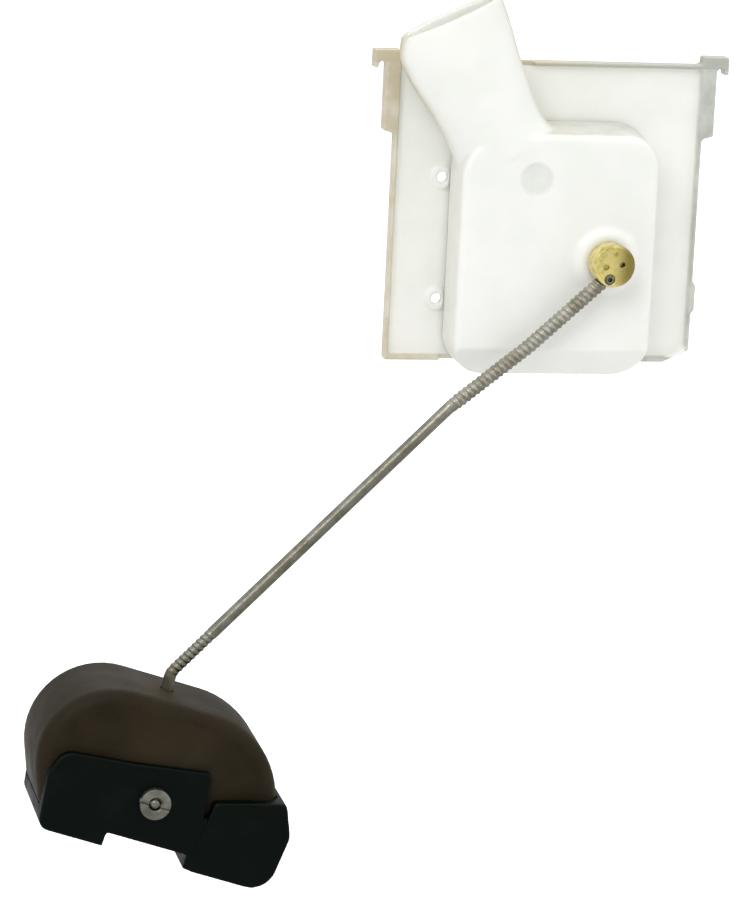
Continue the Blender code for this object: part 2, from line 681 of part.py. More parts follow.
def make_spindle(brass, pivot):
    """One turned piece: head for the rod, shaft, groove for the clip, seat for the crank and rear journal."""
    profile = [
        (JOURNAL_RADIUS, SPINDLE_END),
        (JOURNAL_RADIUS, CRANK_BACK + 0.4),
        (CRANK_SEAT_RADIUS, CRANK_BACK + 0.4),
        (CRANK_SEAT_RADIUS, CRANK_FRONT - 0.7),
        (SPINDLE_RADIUS, CRANK_FRONT - 0.7),
        (SPINDLE_RADIUS, CLIP_BACK + GAP),
        (CLIP_GROOVE_RADIUS, CLIP_BACK + GAP),
        (CLIP_GROOVE_RADIUS, CLIP_FRONT - GAP),
        (SPINDLE_RADIUS, CLIP_FRONT - GAP),
        (SPINDLE_RADIUS, HEAD_BACK),
        (HEAD_RADIUS - 0.3, HEAD_BACK),
        (HEAD_RADIUS, HEAD_BACK - 0.3),
        (HEAD_RADIUS, HEAD_FRONT + HEAD_EDGE),
        (HEAD_RADIUS - HEAD_EDGE * 0.3, HEAD_FRONT + HEAD_EDGE * 0.3),
        (HEAD_RADIUS - HEAD_EDGE, HEAD_FRONT),
    ]
    spindle = add_part("spindle", turned(profile, segments=32), brass, SPINDLE, pivot)
    start = Vector(ROD_PATH[0])
    along = (Vector(ROD_PATH[1]) - start).normalized()
    bore = [tuple(start - along * 0.4), tuple(start + along * 2 * HEAD_RADIUS)]
    cut(spindle, swept(bore, [ROD_THREAD_RADIUS + 0.15] * 2, ROD_Y, sides=16))
    clearance = CLAMP_SCREW_RADIUS + GAP
    screw_hole = turned([(clearance, ROD_Y), (clearance, HEAD_FRONT - 1.0)], segments=12)
    cut(spindle, screw_hole, frame_at(*clamp_screw_place(), 0.0))
    spanner_hole = [(SPANNER_HOLE_RADIUS, HEAD_FRONT + 1.5), (SPANNER_HOLE_RADIUS, HEAD_FRONT - 1.0)]
    for side in (-SPANNER_HOLE_OFFSET, SPANNER_HOLE_OFFSET):
        here = frame_at(SPINDLE_X, SPINDLE_Z, radians(-10.0)) @ Matrix.Translation((side, 0.0, 0.0))
        cut(spindle, turned(spanner_hole, segments=12), here)


def clamp_screw_place():
    """The clamp screw stands on the rod's centre line, near the head's edge."""
    start = Vector(ROD_PATH[0])
    return start + (Vector(ROD_PATH[1]) - start).normalized() * CLAMP_SCREW_FROM_END


def make_rod_clamp_screw(steel, pivot):
    here = frame_at(*clamp_screw_place(), 0.0)
    back = ROD_Y - ROD_THREAD_RADIUS - GAP
    shank = turned([(CLAMP_SCREW_RADIUS, back), (CLAMP_SCREW_RADIUS, HEAD_FRONT + 0.1)], segments=12)
    screw = add_part("rod_clamp_screw", shank, steel, here, pivot)
    cut(screw, turned([(0.65, HEAD_FRONT + 0.9), (0.65, HEAD_FRONT - 1.0)], segments=6), here)


def make_bearing(plastic, rubber, steel, pivot):
    """Bush, O-ring and thrust washer stay in the housing; the clip turns with the spindle."""
    bore = SPINDLE_RADIUS + RUNNING_GAP
    flange_front = BUSH_BACK - 0.7
    bush = [
        (bore, BUSH_FRONT),
        (bore, BUSH_BACK),
        (BUSH_FLANGE_RADIUS, BUSH_BACK),
        (BUSH_FLANGE_RADIUS, flange_front),
        (BUSH_RADIUS, flange_front),
        (BUSH_RADIUS, BUSH_FRONT),
    ]
    add_part("spindle_bush", turned(bush, loop=True), plastic, SPINDLE)
    middle = (SPINDLE_RADIUS + BUSH_RADIUS) / 2 + 0.03
    cord = circle(SEAL_CORD_RADIUS, 8, middle, SEAL_Y)
    add_part("spindle_seal", turned(cord, loop=True), rubber, SPINDLE)
    inside = SPINDLE_RADIUS + GAP
    washer = [
        (inside, WASHER_BACK),
        (WASHER_OUTSIDE, WASHER_BACK),
        (WASHER_OUTSIDE, WASHER_FRONT),
        (inside, WASHER_FRONT),
    ]
    add_part("thrust_washer", turned(washer, loop=True), steel, SPINDLE)
    clip = extruded(clip_outline(CLIP_GROOVE_RADIUS + GAP, CLIP_RADIUS), CLIP_FRONT, CLIP_BACK)
    add_part("spindle_clip", clip, steel, SPINDLE, pivot)


def clip_outline(inner, outer, opening=radians(80.0), steps=14):
    """C-shaped clip that opens towards +X."""
    angles = [opening / 2 + (2 * pi - opening) * step / steps for step in range(steps + 1)]
    outside = [(outer * cos(angle), outer * sin(angle)) for angle in angles]
    inside = [(inner * cos(angle), inner * sin(angle)) for angle in reversed(angles)]
    return outside + inside


def crank_outline(hub, tip, length, steps=10):
    """Two arcs joined by their common tangents: the hub at the origin and the tip at -X."""
    lean = pi / 2 + (pi / 2 - atan2((length**2 - (hub - tip) ** 2) ** 0.5, hub - tip))
    half = pi - lean
    around_tip = [pi - half + 2 * half * step / steps for step in range(steps + 1)]
    around_hub = [pi + half + 2 * (pi - half) * step / steps for step in range(steps + 1)]
    points = [(-length + tip * cos(angle), tip * sin(angle)) for angle in around_tip]
    return points + [(hub * cos(angle), hub * sin(angle)) for angle in around_hub]


def make_crank(finish, steel, pivot):
    """The crank, its pressed-in pin and the grub screw that holds it on the spindle."""
    here = frame_at(SPINDLE_X, SPINDLE_Z, -NECK_TILT - CRANK_SQUARE_AT)
    outline = crank_outline(CRANK_HUB_RADIUS, CRANK_TIP_RADIUS, CRANK_LENGTH)
    crank = add_part("crank", extruded(outline, CRANK_FRONT, CRANK_BACK), finish, here, pivot)
    front = CRANK_FRONT - 1.0
    back = CRANK_BACK + 1.0
    seat = CRANK_SEAT_RADIUS + 0.06
    cut(crank, turned([(seat, front), (seat, back)]), here)
    tip = here @ Matrix.Translation((-CRANK_LENGTH, 0.0, 0.0))
    socket = CRANK_PIN_RADIUS + GAP
    cut(crank, turned([(socket, front), (socket, back)], segments=16), tip)
    pin = turned([(CRANK_PIN_RADIUS, CRANK_BACK), (CRANK_PIN_RADIUS, CRANK_PIN_END)], segments=16)
    add_part("crank_pin", pin, steel, tip, pivot)
    middle = (CRANK_FRONT + CRANK_BACK) / 2
    radial = here @ Matrix.Translation((0.0, middle, 0.0)) @ Matrix.Rotation(radians(-90), 4, "Z")
    hole = CRANK_SCREW_RADIUS + GAP
    cut(crank, turned([(hole, 2.0), (hole, CRANK_HUB_RADIUS + 2.0)], segments=10), radial)
    grub = [(CRANK_SCREW_RADIUS, CRANK_SEAT_RADIUS + 0.15), (CRANK_SCREW_RADIUS, CRANK_HUB_RADIUS + 0.1)]
    add_part("crank_screw", turned(grub, segments=10), steel, radial, pivot)


# Arm and float

def make_float_rod(steel, pivot):
    """The upper end is threaded, drawn at the thread's outside; the lower end carries an eye."""
    steps = 3
    line = bent(ROD_PATH, ROD_BEND, steps)
    above = line[: steps + 2]
    below = line[steps + 2 :]
    thread_end = Vector(ROD_PATH[1]).lerp(Vector(ROD_PATH[2]), 0.75)
    shoulder = (thread_end - Vector(above[-1])).normalized() * 0.25
    eye = Vector(ROD_PATH[-1])
    below[-1] = tuple(eye + (Vector(below[-2]) - eye).normalized() * (ROD_EYE_BORE + 1.25))
    path = above + [tuple(thread_end), tuple(thread_end + shoulder)] + below
    radii = [ROD_THREAD_RADIUS] * (len(above) + 1) + [ROD_RADIUS] * (len(below) + 1)
    rod = add_part("float_rod", swept(path, radii, ROD_Y), steel, WORLD, pivot)
    half = ROD_EYE_HALF_THICKNESS
    edge = 0.3
    disc = [
        (ROD_EYE_RADIUS - edge, ROD_Y - half),
        (ROD_EYE_RADIUS, ROD_Y - half + edge),
        (ROD_EYE_RADIUS, ROD_Y + half - edge),
        (ROD_EYE_RADIUS - edge, ROD_Y + half),
    ]
    join(rod, turned(disc), FLOAT)
    cut(rod, turned([(ROD_EYE_BORE, ROD_Y - 4.0), (ROD_EYE_BORE, ROD_Y + 4.0)], segments=16), FLOAT)


def float_shape(grow=0.0, edge=FLOAT_EDGE_ROUND):
    """The float's body with rounded front and rear edges, or a little larger to make room for it."""
    front = FLOAT_FRONT - grow
    back = FLOAT_BACK + grow
    steps = 3
    rings = []
    for end, direction, order in ((front, 1, range(steps, -1, -1)), (back, -1, range(steps + 1))):
        for step in order:
            angle = pi / 2 * step / steps
            distance = edge * (1 - cos(angle)) - grow
            y = end + direction * edge * (1 - sin(angle))
            rings.append([(x, y, z) for x, z in rounded(inset(FLOAT_CORNERS, distance))])
    return skin(rings)


def make_float_body(finish, pivot):
    body = add_part("float_body", float_shape(), finish, FLOAT, pivot)
    clear = ROD_RADIUS + 0.3
    cut(body, swept(ROD_PATH[-2:], [clear, clear], ROD_Y))
    half = ROD_EYE_RADIUS + 0.4
    pocket = rectangle(-half, half, SHOE_BOTTOM, half)
    reach = ROD_EYE_HALF_THICKNESS + 0.3
    cut(body, extruded(pocket, ROD_Y - reach, ROD_Y + reach), FLOAT)
    hole = FLOAT_SCREW_RADIUS + 0.25
    cut(body, turned([(hole, FLOAT_FRONT - 2.0), (hole, FLOAT_BACK + 2.0)], segments=16), FLOAT)


def make_float_shoe(finish, pivot):
    """A trough under the float: a long panel and a toe in front, a shorter wall behind."""
    front = TOE_FRONT - 2.0
    back = TOE_BACK + 2.0
    panel = extruded(rounded(SHOE_CORNERS, 3), SHOE_FRONT, SHOE_BACK)
    shoe = add_part("float_shoe", panel, finish, FLOAT, pivot)
    join(shoe, extruded(rounded(TOE_CORNERS, 3), TOE_FRONT, TOE_BACK), FLOAT)
    cut(shoe, float_shape(grow=0.15), FLOAT)
    notch = rectangle(NOTCH_LEFT, NOTCH_RIGHT, SHOE_BOTTOM - 2.0, NOTCH_TOP)
    cut(shoe, extruded(notch, front, back), FLOAT)
    rear_end = rectangle(-40.0, REAR_WALL_LEFT, SHOE_BOTTOM - 2.0, 12.0)
    cut(shoe, extruded(rear_end, FLOAT_BACK - 0.5, back), FLOAT)
    hole = FLOAT_SCREW_RADIUS + 0.2
    cut(shoe, turned([(hole, front), (hole, back)], segments=16), FLOAT)


def make_float_fastening(steel, pivot):
    """The screw goes in from the rear, over a washer; its end stands in a slotted round nut in front."""
    bore = FLOAT_SCREW_RADIUS + 0.12
    back = SHOE_BACK + GAP
    head = back + WASHER_THICKNESS + GAP
    washer = [(bore, back), (WASHER_RADIUS, back), (WASHER_RADIUS, head - GAP), (bore, head - GAP)]
    add_part("float_washer", turned(washer, loop=True), steel, FLOAT, pivot)
    nut_back = SHOE_FRONT - GAP
    nut_front = nut_back - NUT_THICKNESS
    profile = [
        (SCREW_CAP_RADIUS - 0.6, head + SCREW_CAP_HEIGHT),
        (SCREW_CAP_RADIUS, head + SCREW_CAP_HEIGHT - 0.7),
        (SCREW_CAP_RADIUS, head),
        (FLOAT_SCREW_RADIUS, head),
        (FLOAT_SCREW_RADIUS, nut_front + 0.9),
        (FLOAT_SCREW_RADIUS - 0.7, nut_front + 0.1),
    ]
    screw = add_part("float_screw", turned(profile), steel, FLOAT, pivot)
    slot = extruded(rectangle(-0.4, 0.4, -4.0, 4.0), head + 0.9, head + SCREW_CAP_HEIGHT + 1.0)
    cut(screw, slot, FLOAT @ Matrix.Rotation(radians(35.0), 4, "Y"))
    edge = 0.4
    ring = [
        (bore, nut_back),
        (NUT_RADIUS, nut_back),
        (NUT_RADIUS, nut_front + edge),
        (NUT_RADIUS - edge, nut_front),
        (bore + edge, nut_front),
        (bore, nut_front + edge),
    ]
    nut = add_part("float_nut", turned(ring, loop=True), steel, FLOAT, pivot)
    across = rectangle(-NUT_RADIUS - 1.0, NUT_RADIUS + 1.0, -NUT_SLOT / 2, NUT_SLOT / 2)
    cut(nut, extruded(across, nut_front - 1.0, nut_front + 0.9), FLOAT)


def main():
    clear_scene()
    milky = material("milky_plastic", (0.88, 0.89, 0.85), 0.35)
    brass = material("brass", (0.72, 0.52, 0.16), 0.25, metallic=1.0)
    steel = material("zinc_steel", (0.56, 0.55, 0.50), 0.32, metallic=1.0)
    rubber = material("black_rubber", (0.03, 0.03, 0.03), 0.7)
    silicone = material("grey_silicone", (0.55, 0.53, 0.47), 0.5)
    acetal = material("white_acetal", (0.80, 0.80, 0.76), 0.4)
    ebonite = material("brown_ebonite", (0.045, 0.030, 0.018), 0.4)
    black = material("black_plastic", (0.008, 0.012, 0.012), 0.45)

    arm_pivot = add_pivot("arm_pivot", SPINDLE_X, ROD_Y, SPINDLE_Z)
    pin = NECK @ PIN_IN_NECK
    plunger_slide = add_pivot("plunger_slide", pin.x, NECK_Y, pin.z)

    make_back_plate(milky)
    make_front_cover(milky)
    make_cover_seal(silicone)
    make_cover_screws(steel)
    make_inlet_strainer(acetal)
    make_valve_nozzle(brass)
    make_nozzle_seal(rubber)
    make_plunger(acetal, rubber, plunger_slide)
    make_spindle(brass, arm_pivot)
    make_rod_clamp_screw(steel, arm_pivot)
    make_bearing(acetal, rubber, steel, arm_pivot)
    make_crank(brass, steel, arm_pivot)
    make_float_rod(steel, arm_pivot)
    make_float_body(ebonite, arm_pivot)
    make_float_shoe(black, arm_pivot)
    make_float_fastening(steel, arm_pivot)


main()
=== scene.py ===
"""The looks of the float valve: fine surfaces for the pieces that show, node materials, light and camera.

Shapes are drawn in millimetres in the CAD's own frame and become metres in add_mesh().
"""

import json
from math import atan2, cos, pi, radians, sin, tan

import bmesh
import bpy
from mathutils import Matrix, Vector


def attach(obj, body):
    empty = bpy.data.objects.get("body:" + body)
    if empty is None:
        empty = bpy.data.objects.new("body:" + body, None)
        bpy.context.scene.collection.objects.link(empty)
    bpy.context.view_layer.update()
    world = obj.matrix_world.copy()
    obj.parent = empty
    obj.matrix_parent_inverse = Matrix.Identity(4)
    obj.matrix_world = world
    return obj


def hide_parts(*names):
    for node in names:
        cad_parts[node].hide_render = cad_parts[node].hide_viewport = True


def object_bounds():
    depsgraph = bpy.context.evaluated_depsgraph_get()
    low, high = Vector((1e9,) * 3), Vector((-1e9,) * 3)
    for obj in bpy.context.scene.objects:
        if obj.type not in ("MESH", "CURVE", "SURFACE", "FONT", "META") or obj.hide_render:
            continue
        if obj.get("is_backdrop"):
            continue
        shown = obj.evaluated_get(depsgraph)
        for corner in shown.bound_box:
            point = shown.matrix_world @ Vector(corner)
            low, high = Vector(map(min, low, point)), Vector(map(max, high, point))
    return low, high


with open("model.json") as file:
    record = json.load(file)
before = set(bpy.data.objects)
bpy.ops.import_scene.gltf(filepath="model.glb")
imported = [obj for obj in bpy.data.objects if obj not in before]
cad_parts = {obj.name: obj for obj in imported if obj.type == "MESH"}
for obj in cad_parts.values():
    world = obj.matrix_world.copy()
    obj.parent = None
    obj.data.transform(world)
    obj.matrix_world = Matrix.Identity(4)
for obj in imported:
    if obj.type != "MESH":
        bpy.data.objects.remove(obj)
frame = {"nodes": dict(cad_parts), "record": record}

METRES_PER_MM = 0.001
PLAIN_WIRE_X = -0.031  # metres; left of it the rod's wire is plain and duller
TURNING_MARKS = 26000.0  # radians of the turned brass's ring wave per metre of radius
FLOOR_DROP = 0.045  # metres from the resting float to the floor, which the float clears at its lowest
BEYOND = 1.0  # how far a cutting shape reaches past the surface that it cuts
OVERLAP = 0.4  # how far a joined shape reaches into the one that it joins
MOULDING_VOXEL = 0.45
MOULDING_SMOOTHING = 4

# Camera
LOOK_AT = Vector((-0.0451, -0.0128, -0.0619))
CAMERA_AZIMUTH = radians(-12.0)
CAMERA_ELEVATION = radians(12.0)
CAMERA_ROLL = radians(2.75)
CAMERA_DISTANCE = 1.07
CAMERA_LENS = 164.6

# Back plate
PLATE_LEFT = -41.2
PLATE_RIGHT = 41.2
PLATE_BOTTOM = -39.6
PLATE_TOP = 39.4
PLATE_FRONT = -2.5
RIM_FRONT = -4.5
RIM_WIDTH = 1.1
EAR_REACH = 6.1
EAR_TOP = 41.6
EAR_UNDERSIDE = 38.6
EAR_LIP = 1.2
EAR_LIP_DROP = 1.8
RAIL_WIDTH = 3.0
RAIL_BOTTOM = 19.8
RAIL_SLOPE = 0.8
FLANGE_HOLE_X = -27.6
FLANGE_HOLES_Z = (8.5, -23.5)
FLANGE_HOLE_RADIUS = 1.45
FLANGE_RING_RADIUS = 2.9
FLANGE_RING_HEIGHT = 0.8
JOURNAL_BOSS_RADIUS = 4.5
JOURNAL_BOSS_FRONT = -4.4
JOURNAL_HOLE_END = -1.0

# Front cover
BOX_LEFT = -25.8
BOX_RIGHT = 26.4
BOX_BOTTOM = -41.3
BOX_TOP = 24.0
BOX_DRAFT = 1.9  # the top wall leans back by this much between the seam and the front face
BOX_BACK = -3.5
BOX_FRONT = -18.5
BOX_WALL = 1.8
BOX_EDGE_ROUND = 1.6
BOX_CORNER_BOTTOM = 9.0
BOX_CORNER_TOP = 8.5
BOX_CORNER_NECK = 12.0
CHAMFER_TOP = -33.9
CHAMFER_BACK = -13.5
GATE_X = -6.2
GATE_Z = 10.6
GATE_MARK_RADIUS = 4.4
GATE_MARK_FLOOR_RADIUS = 4.2
GATE_MARK_DEPTH = 0.45
GATE_STUB_X = -5.2
GATE_STUB_Z = 9.4
GATE_STUB_RADIUS = 1.6
COVER_SCREWS = ((-21.6, -34.8), (22.2, -35.0), (21.4, 16.8), (-21.6, -2.0))
SCREW_RADIUS = 1.25
SCREW_HEAD_RADIUS = 2.8
SCREW_PLAY = 0.2
SCREW_POST_RADIUS = 3.0
SCREW_HOLE_END = -12.6
COUNTERSINK_START = -0.5
COUNTERSINK_END = -1.9

# Neck
NECK_TILT = radians(25.0)
MOUTH_X = -29.4
MOUTH_Z = 51.4
NECK_Y = -11.3
NECK_HALF_DEPTH = 7.6
MOUTH_HALF_WIDTH = 12.0
MOUTH_TAPER = 20.0  # how far down the neck its bore narrows
BORE_HALF_WIDTH = 10.4
BORE_HALF_DEPTH = 5.6
BORE_LENGTH = 41.5
# Left and right edges (x, z) of the neck's outside, from the mouth down into the box
NECK_EDGES = (
    ((-42.1, 45.5), (-16.7, 57.3)),
    ((-42.4, 42.0), (-13.6, 49.5)),
    ((-41.6, 38.4), (-11.4, 43.0)),
    ((-38.2, 32.4), (-9.0, 37.0)),
    ((-33.2, 25.6), (-6.6, 31.0)),
    ((-28.8, 18.6), (-3.8, 26.0)),
    ((-25.0, 10.4), (0.2, 22.2)),
)

# Spindle and plunger guides
SPINDLE_X = 13.4
SPINDLE_Z = -10.3
SPINDLE_RADIUS = 3.0
SPINDLE_END = -1.2
JOURNAL_RADIUS = 2.0
CRANK_SEAT_RADIUS = 2.5
CRANK_SEAT_BACK = -4.6
CRANK_SEAT_FRONT = -8.4
CLIP_GROOVE_RADIUS = 2.4
CLIP_GROOVE_BACK = -10.5
CLIP_GROOVE_FRONT = -11.5
HEAD_RADIUS = 5.5
HEAD_BACK = -20.5
HEAD_FRONT = -27.2
HEAD_EDGE = 0.7
HEAD_BACK_EDGE = 0.3
HEAD_DISH_RADIUS = 3.2
HEAD_DISH_DEPTH = 0.12
SPANNER_HOLE_RADIUS = 0.7
SPANNER_HOLE_OFFSET = 2.1
SPANNER_HOLE_DEPTH = 1.5
SPANNER_HOLES_TURN = radians(-10.0)
CLAMP_SCREW_RADIUS = 1.2
CLAMP_SCREW_SOCKET_RADIUS = 0.65
CLAMP_SCREW_SOCKET_DEPTH = 0.8
CLAMP_SCREW_FROM_END = 5.2  # from the rod's upper end, along the rod
BOSS_RADIUS = 9.0
BOSS_FRONT = -20.0
BOSS_BACK = -13.0
BOSS_BORE_WALL = 2.7
BUSH_RADIUS = 4.4
GUIDE_START = 50.0
GUIDE_END = 64.5
GUIDE_WALL = 1.5
GUIDE_FRONT = -13.5
GUIDE_PLAY = 0.25
PLUNGER_HALF_WIDTH = 4.5
PLUNGER_BACK = -8.0

# Arm
ROD_Y = -23.7
ROD_RADIUS = 1.6
THREAD_CREST = 1.95
THREAD_ROOT = 1.62
THREAD_PITCH = 1.5
THREAD_LENGTH = 58.0
THREAD_RUN_OUT = 3.0
TAIL_THREAD_START = 26.0  # from the rod's lower end
TAIL_THREAD_END = 42.0
TAIL_THREAD_DEPTH = 0.22
TAIL_THREAD_RUN_OUT = 2.0
ROD_BEND = 4.5
ROD_STEP = 0.22  # between the rings of its surface
ROD_PATH = ((16.2, -10.3), (-7.3, -32.0), (-27.5, -48.3), (-97.4, -118.4), (-103.4, -147.6))
ROD_EYE_RADIUS = 4.2
ROD_EYE_HALF_THICKNESS = 1.7
ROD_EYE_BORE = 1.75
ROD_EYE_EDGE = 0.3

# Float and shoe, in the float's own frame
FLOAT_TILT = radians(17.0)
FLOAT_FRONT = -39.4
FLOAT_BACK = -8.0
FLOAT_EDGE_ROUND = 4.0
FLOAT_CORNERS = ((-26.8, -11.2, 5.0), (32.6, -11.2, 5.0), (32.6, 25.2, 24.0), (-42.3, 25.2, 19.5))
SHOE_FRONT = -42.5
SHOE_BACK = -5.2
SHOE_LEFT = -28.6
SHOE_BOTTOM = -14.7
SHOE_TOP = 11.4
SHOE_PLAY = 0.15  # around the float
SHOE_CORNERS = (
    (-26.6, SHOE_BOTTOM, 3.0),
    (20.0, SHOE_BOTTOM, 0.0),
    (13.6, 0.0, 2.0),
    (12.2, SHOE_TOP, 1.5),
    (-8.0, 8.3, 6.0),
    (-26.4, 6.4, 4.5),
    (SHOE_LEFT, -0.4, 4.0),
)
TOE_FRONT = -43.4
TOE_BACK = -4.4
TOE_CORNERS = (
    (13.8, SHOE_BOTTOM, 0.8),
    (35.6, SHOE_BOTTOM, 6.5),
    (36.8, 1.0, 4.0),
    (33.0, 9.4, 1.5),
    (15.0, 4.4, 1.0),
)
NOTCH_LEFT = -9.2
NOTCH_RIGHT = 12.6
REAR_WALL_LEFT = -21.0  # the shoe's rear wall is shorter than its front panel
NOTCH_TOP = -11.0
FLOAT_SCREW_RADIUS = 1.5
FLOAT_SCREW_PLAY = 0.12
WASHER_RADIUS = 3.6
WASHER_THICKNESS = 0.8
SCREW_CAP_RADIUS = 2.8
SCREW_CAP_HEIGHT = 1.9
SCREW_CAP_ROUND = 0.8
SCREW_SLOT_WIDTH = 0.8
SCREW_SLOT_FLOOR = 0.9  # above the cap's seat
SCREW_SLOT_TURN = radians(35.0)
NUT_RADIUS = 4.15
NUT_THICKNESS = 1.9
NUT_SLOT = 1.1
NUT_SLOT_DEPTH = 0.9
GAP = 0.1  # between neighbouring pieces
BROKEN_EDGE = 0.15  # chamfer of the small turned pieces
NUT_FRONT = SHOE_FRONT - GAP - NUT_THICKNESS


# Frames

def frame_at(x, z, turn=0.0):
    return Matrix.Translation((x, 0.0, z)) @ Matrix.Rotation(turn, 4, "Y")


WORLD = Matrix.Identity(4)
NECK = frame_at(MOUTH_X, MOUTH_Z, -NECK_TILT)
SPINDLE = frame_at(SPINDLE_X, SPINDLE_Z)
FLOAT = frame_at(*ROD_PATH[-1], FLOAT_TILT)


# Outlines in the XZ plane

def turned_corner(before, corner, after, radius, steps):
    """Arc that takes the place of a corner between two straight sides."""
    here = Vector(corner)
    back = (Vector(before) - here).normalized()
    ahead = (Vector(after) - here).normalized()
    half = back.angle(ahead) / 2
    centre = here + (back + ahead).normalized() * radius / sin(half)
    first = here + back * radius / tan(half) - centre
    last = here + ahead * radius / tan(half) - centre
    start = atan2(first.y, first.x)
    sweep = (atan2(last.y, last.x) - start + pi) % (2 * pi) - pi
    angles = [start + sweep * step / steps for step in range(steps + 1)]
    return [(centre.x + radius * cos(angle), centre.y + radius * sin(angle)) for angle in angles]


def rounded(corners, steps=14):
    """Outline from (x, z, radius) corners; a radius of 0 keeps the corner sharp."""
    points = []
    for index, (x, z, radius) in enumerate(corners):
        if radius == 0:
            points.append((x, z))
            continue
        before = corners[index - 1][:2]
        after = corners[(index + 1) % len(corners)][:2]
        points += turned_corner(before, (x, z), after, radius, steps)
    return points


def inset(corners, distance):
    """The same outline moved inwards by a distance, which keeps its rounded corners concentric."""
    moved = []
    for index, (x, z, radius) in enumerate(corners):
        here = Vector((x, z))
        back = (Vector(corners[index - 1][:2]) - here).normalized()
        ahead = (Vector(corners[(index + 1) % len(corners)][:2]) - here).normalized()
        shift = (back + ahead).normalized() * distance / sin(back.angle(ahead) / 2)
        moved.append((x + shift.x, z + shift.y, radius - distance))
    return moved


def bent(path, radius, steps):
    """Open line through the points of path, its inner corners bent to a radius."""
    points = [path[0]]
    for before, corner, after in zip(path, path[1:], path[2:]):
        points += turned_corner(before, corner, after, radius, steps)
    return points + [path[-1]]


def circle(radius, segments):
    angles = [2 * pi * step / segments for step in range(segments)]
    return [(radius * cos(angle), radius * sin(angle)) for angle in angles]


def rectangle(left, right, bottom, top):
    return [(left, bottom), (right, bottom), (right, top), (left, top)]


# Shapes

def skin(rings, loop=False):
    """Closed surface through rings of as many points each; capped at both ends unless it is a loop."""
    shape = bmesh.new()
    rows = [[shape.verts.new(point) for point in ring] for ring in rings]
    pairs = list(zip(rows, rows[1:]))
    if loop:
        pairs.append((rows[-1], rows[0]))
    for low, high in pairs:
        for index in range(len(low)):
            after = (index + 1) % len(low)
            shape.faces.new((low[index], low[after], high[after], high[index]))
    if not loop:
        shape.faces.new(rows[0])
        shape.faces.new(rows[-1])
    bmesh.ops.recalc_face_normals(shape, faces=shape.faces)
    return shape


def extruded(outline, front, back):
    """Solid between two depths y, with an outline of (x, z) points."""
    return skin([[(x, y, z) for x, z in outline] for y in (front, back)])


def turned(profile, loop=False, segments=64):
    """Solid of revolution about the Y axis from (radius, y) points; a loop leaves a bore in the middle."""
    return skin([[(x, y, z) for x, z in circle(radius, segments)] for radius, y in profile], loop)


def pin(radius, front, back, segments=32):
    return turned([(radius, front), (radius, back)], segments=segments)


def sliced(shape, point, normal):
    """Takes away what lies beyond a plane, on the side its normal points to, and closes the cut."""
    geometry = shape.verts[:] + shape.edges[:] + shape.faces[:]
    bmesh.ops.bisect_plane(shape, geom=geometry, plane_co=point, plane_no=normal, clear_outer=True)
    bmesh.ops.edgeloop_fill(shape, edges=[edge for edge in shape.edges if edge.is_boundary])
    bmesh.ops.recalc_face_normals(shape, faces=shape.faces)
    return shape


# Objects

def add_mesh(name, shape, place=WORLD):
    """Makes an object of a shape drawn in the frame place, in metres and in the world's axes."""
    mesh = bpy.data.meshes.new(name)
    shape.to_mesh(mesh)
    shape.free()
    mesh.transform(Matrix.Scale(METRES_PER_MM, 4) @ place)
    thing = bpy.data.objects.new(name, mesh)
    bpy.context.scene.collection.objects.link(thing)
    return thing


def combine(thing, shape, place, operation):
    tool = add_mesh(f"{thing.name}_tool", shape, place)
    boolean = thing.modifiers.new(operation, "BOOLEAN")
    boolean.operation = operation
    boolean.solver = "EXACT"
    boolean.object = tool


def cut(thing, shape, place=WORLD):
    combine(thing, shape, place, "DIFFERENCE")


def join(thing, shape, place=WORLD):
    combine(thing, shape, place, "UNION")


def settle(thing, voxel=None, smoothing=0, sharp=radians(35)):
    """Applies the cuts and joins. With a voxel size the surface is also remeshed and softened."""
    tools = [modifier.object for modifier in thing.modifiers]
    if voxel:
        remesh = thing.modifiers.new("remesh", "REMESH")
        remesh.mode = "VOXEL"
        remesh.voxel_size = voxel * METRES_PER_MM
        soften = thing.modifiers.new("soften", "SMOOTH")
        soften.factor = 0.5
        soften.iterations = smoothing
    depsgraph = bpy.context.evaluated_depsgraph_get()
    mesh = bpy.data.meshes.new_from_object(thing.evaluated_get(depsgraph))
    thing.modifiers.clear()
    thing.data = mesh
    for tool in tools:
        bpy.data.objects.remove(tool)
    mesh.shade_smooth()
    if not voxel:
        mesh.set_sharp_from_angle(angle=sharp)
    return thing


def finish_piece(thing, node, body, look):
    """Lets a piece ride on its body in the place of the CAD node and look."""
    thing.data.materials.clear()
    thing.data.materials.append(look)
    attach(thing, body)
    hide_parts(node)


# Housing

